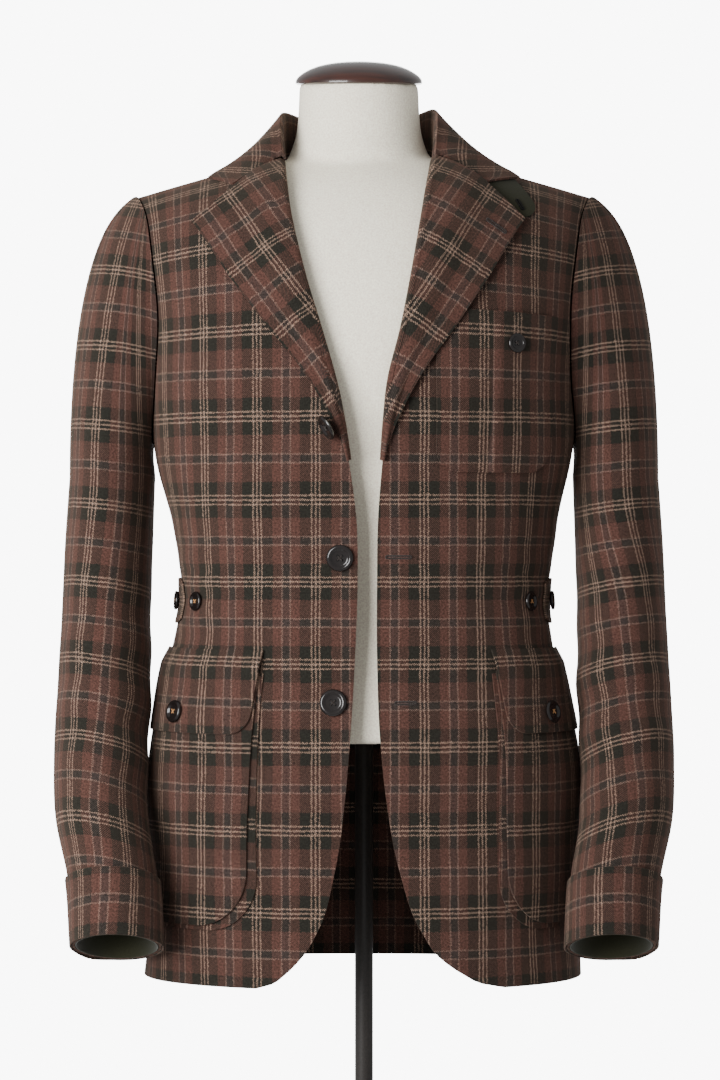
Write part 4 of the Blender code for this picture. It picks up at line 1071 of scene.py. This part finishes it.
def button(name, turn, length, side, radius, lift, thread, stand_up=0.0):
    """A turned horn button with a raised rim, four holes drawn as near-black discs of painted shade, and
    crossed thread.
    """
    lift = lift + (radius - BUTTON_DEPTH / 3) * sin(stand_up)
    point, axis, first, second = button_axes(turn, length, side, lift, stand_up)
    profile = [(radius * share, BUTTON_DEPTH * rise) for share, rise in zip(BUTTON_SHARES, BUTTON_RISES)]
    lathe(name, round_rings(profile, point, first, second, axis, 48), HORN, "horn", [name])
    well, reach = BUTTON_DEPTH * BUTTON_RISES[0], radius * HOLE_REACH
    slants = ((first + second) / sqrt(2), (first - second) / sqrt(2))
    hole = [(radius * HOLE_SHARE, rise) for rise in (0.0, HOLE_DEPTH)]
    # Each hole is a near-black disc just above the well: painted shade standing in for the hole.
    for i, way in enumerate((slants[0], slants[1], -slants[0], -slants[1])):
        spot = point + way * reach + axis * (well - HOLE_SUNK)
        lathe(f"{name}_hole_{i}", round_rings(hole, spot, first, second, axis, 14), DARK, "horn")
    strand = [(STRAND, 0.0), (STRAND, 2 * reach)]
    for i, way in enumerate(slants):
        spot = point + axis * (well + STRAND_STEP + STRAND_STEP * i) - way * reach
        rings = round_rings(strand, spot, np.cross(axis, way), axis, way, 10)
        lathe(f"{name}_thread_{i}", rings, thread, "olive_cloth")


def buttons():
    for place, length in FRONT_BUTTON_LENGTH.items():
        turn = turn_at(FRONT_BUTTON_X[place], length)
        raised = TOP_BUTTON_STANDS_UP if place == "top" else 0.0
        button(f"front_button_{place}", turn, length, RIGHT, FRONT_BUTTON_RADIUS, SEAT, BROWN, raised)
    on_flap = POCKET_LIFT + LAYER + SEAT
    for side, name in SIDE_NAMES.items():
        place = (FLAP_BUTTON_TURN, FLAP_BUTTON_LENGTH, side)
        button(f"flap_button_{name}", *place, FLAP_BUTTON_RADIUS, on_flap, TAN)
        for turn, place, rest in zip(TAB_BUTTON_TURNS, ("front", "side"), (0.0, LAYER)):
            button(f"tab_button_{place}_{name}", turn, TAB_MIDDLE, side, TAB_BUTTON_RADIUS, rest + SEAT, TAN)
    turn = turn_at(BREAST_BUTTON_X, BREAST_BUTTON_LENGTH)
    button("breast_button", turn, BREAST_BUTTON_LENGTH, LEFT, BREAST_BUTTON_RADIUS, LAYER + SEAT, BROWN)


def buttonhole(name, places, lift, finish):
    """A worked buttonhole on the left: thread along both lips of a slit between two places."""
    start, end = np.array(places)
    along = unit(end - start)
    across = np.array([-along[1], along[0]])
    sweep = np.linspace(-pi / 2, pi / 2, 9)[:, None]
    bow = BUTTONHOLE_HALF * (along * np.cos(sweep) + across * np.sin(sweep))
    ends = np.concatenate([end + bow, start - bow])
    steps = np.linspace(0, 1, 5)[:-1, None]
    path = np.concatenate([a + (b - a) * steps for a, b in zip(ends, np.roll(ends, -1, axis=0))])
    centre = on_front(*path.T, LEFT, lift)
    normal = unit(on_front(*path.T, LEFT, lift + 0.001) - centre)
    ahead = unit(np.roll(centre, -1, axis=0) - np.roll(centre, 1, axis=0))
    sideways = np.cross(normal, ahead)
    round_tube = [sideways * cos(a) + normal * sin(a) for a in full_turn(8)]
    tube = [centre + BUTTONHOLE_THREAD * way for way in round_tube]
    faces = ring_faces(len(tube), len(path), joined=True)
    made_mesh(name, np.concatenate(tube), faces, finish, "olive_cloth")


def buttonholes():
    for name, places in BUTTONHOLES.items():
        buttonhole(f"buttonhole_{name}", places, CLOTH / 2 + 0.0004, BROWN)
    start, end = np.array(THROAT_TAB_ENDS)
    places = [start + (end - start) * share for share in TAB_BUTTONHOLE]
    tab_top = SEAT + THROAT_TAB_CLOTH + 0.0005
    # The tab's buttonhole loop is real, but it is coloured near-black with the hole shadow: painted shade of
    # its slit.
    buttonhole("buttonhole_throat_tab", places, tab_top, DARK)
    lapel_top = LAPEL_LIFT[LEFT] + CLOTH / 2 + 0.0006
    buttonhole("buttonhole_lapel", LAPEL_BUTTONHOLE, lapel_top, BROWN)


def trunk_rings():
    """The form's trunk inside the jacket, from its flat bottom up over the shoulders."""
    turns = np.linspace(0, pi, 61)
    rings = []
    for length in np.concatenate([np.linspace(FORM_BOTTOM, 0.70, 60), np.linspace(0.70, 0.749, 10)[1:]]):
        half = on_body(turns, length, LEFT, -FORM_EASE.at("ease", length) - CLOTH / 2, slack=0.0)
        inner = half[:, 0] * min(1.0, FORM_SHOULDER_X / half[:, 0].max())
        half[:, 2] += BODY.at("tilt", length) * (np.hypot(half[:, 0], NECK_SOFT) - np.hypot(inner, NECK_SOFT))
        half[:, 0] = inner
        half[:, 2] -= FORM_SHOULDER_DROP * (inner / inner.max()) ** 6
        rings.append(np.concatenate([half, half[-2:0:-1] * np.array([-1, 1, 1])]))
    rings[0][:, 2] = BODY.at("height", FORM_BOTTOM)
    return rings


def neck_rings():
    """The form's neck, which starts inside the trunk, flares at its foot and leans at its top."""
    angles, rings = full_turn(96), []
    first, top = NECK.key[[0, -1]]
    for height in np.append(np.linspace(first, top, 30), top + NECK_TUCK):
        flare = NECK_FLARE * exp(-(((height - NECK_FOOT) / FLARE_HEIGHT) ** 2))
        wide, deep = (NECK.at(column, height) + flare for column in ("half_width", "half_depth"))
        lean = NECK_TOP_LEAN * np.clip((height - LEAN_FROM) / LEAN_OVER, 0, 1)
        back = deep * np.sin(angles)
        y = NECK.at("middle_y", height) + back
        rings.append(np.stack([NECK_SHIFT + wide * np.cos(angles), y, height + lean * back], axis=1))
    return rings


def form_skin():
    """Trunk and neck run into one smooth linen-covered body."""
    points, faces = lathe_mesh(trunk_rings())
    more, ends = lathe_mesh(neck_rings())
    faces += [tuple(i + len(points) for i in face) for face in ends]
    body = made_mesh("form_skin", np.concatenate([points, more]), faces, LINEN, "linen", ["form_body"])
    modified(body, "skin", "REMESH", mode="VOXEL", voxel_size=0.0035, use_smooth_shade=True)
    modified(body, "soft", "SMOOTH", factor=0.5, iterations=8)


def cap_and_stand():
    top = NECK.key[-1]
    axis, second = unit(np.array([[0, -NECK_TOP_LEAN, 1.0], [0, 1.0, NECK_TOP_LEAN]]))
    x, y, z = np.eye(3)
    centre = np.array([NECK_SHIFT, NECK.at("middle_y", top), top + SEAM_GAP])
    cap = [(CAP_RADIUS * share, CAP_HEIGHT * rise) for share, rise in zip(CAP_SHARES, CAP_RISES)]
    lathe("cap_turned", round_rings(cap, centre, x, second, axis, 96), WOOD, "polished_wood", ["form_cap"])
    foot = [(BASE_RADIUS, 0.0)]
    for a in np.linspace(pi / 2, 0, 8):
        inward, lower = BASE_EDGE * (1 - sin(a)), BASE_EDGE * (1 - cos(a))
        foot.append((BASE_RADIUS - inward, BASE_HEIGHT - lower))
    pole = [(POLE_RADIUS, BASE_HEIGHT + SEAM_GAP), (POLE_RADIUS, BODY.at("height", FORM_BOTTOM) - SEAM_GAP)]
    for name, profile, sides, node in (("foot", foot, 128, "stand_base"), ("pole", pole, 48, "stand_pole")):
        rings = round_rings(profile, np.zeros(3), x, y, z, sides)
        lathe(f"{name}_turned", rings, STEEL, "painted_steel", [node])


def placed(name, data, location=(0, 0, 0), rotation=(0, 0, 0)):
    """An object of the studio that is no piece of the part."""
    obj = bpy.data.objects.new(name, data)
    obj.location, obj.rotation_euler = location, rotation
    bpy.context.scene.collection.objects.link(obj)
    return obj


def studio():
    """A white world that is brighter behind the part, one key light, the floor and the camera."""
    world = bpy.data.worlds.new("white_studio")
    nodes = Nodes(world, "Background", {"Color": (1.0, 1.0, 1.0, 1.0)})
    way = nodes.add("ShaderNodeTexCoord").outputs["Generated"]
    facing = {0: way, 1: (0.0, 1.0, 0.0)}
    behind = nodes.add("ShaderNodeVectorMath", facing, operation="DOT_PRODUCT").outputs["Value"]
    levels = {"From Min": 0.92, "From Max": 0.975, "To Min": WORLD_LIGHT, "To Max": BACKDROP_LIGHT}
    levels["Value"] = behind
    level = nodes.add("ShaderNodeMapRange", levels, interpolation_type="SMOOTHSTEP")
    nodes.put(nodes.shader.inputs["Strength"], level.outputs["Result"])
    bpy.context.scene.world = world
    light = bpy.data.lights.new("key", "AREA")
    light.energy, light.size = KEY_LIGHT, 1.0
    aim = mathutils.Vector(KEY_AIM) - mathutils.Vector(KEY_PLACE)
    placed("key", light, KEY_PLACE, aim.to_track_quat("-Z", "Y").to_euler())
    angles = full_turn(96)
    ring = np.stack([np.cos(angles), np.sin(angles), 0 * angles], axis=1) * FLOOR_RADIUS
    mesh = bpy.data.meshes.new("floor")
    mesh.from_pydata(ring.tolist(), [], [tuple(range(96))])
    mesh.materials.append(mottled_material("floor_white", (225, 225, 225), 0.9, 1800.0, 0.0, 0.0))
    floor = placed("floor", mesh)
    data = bpy.data.cameras.new("camera")
    data.lens = LENS
    bpy.context.scene.camera = placed("camera", data, CAMERA, (pi / 2, 0, 0))


def main():
    for side in SIDE_NAMES:
        front_panel(side)
        sleeve(side)
        cuff(side)
        cuff_lining(side)
        lapel(side)
        bellows_pocket(side)
        flap(side)
        waist_tab(side)
    back_panel()
    collar()
    throat_tab()
    breast_pocket()
    buttons()
    buttonholes()
    form_skin()
    cap_and_stand()
    studio()


main()
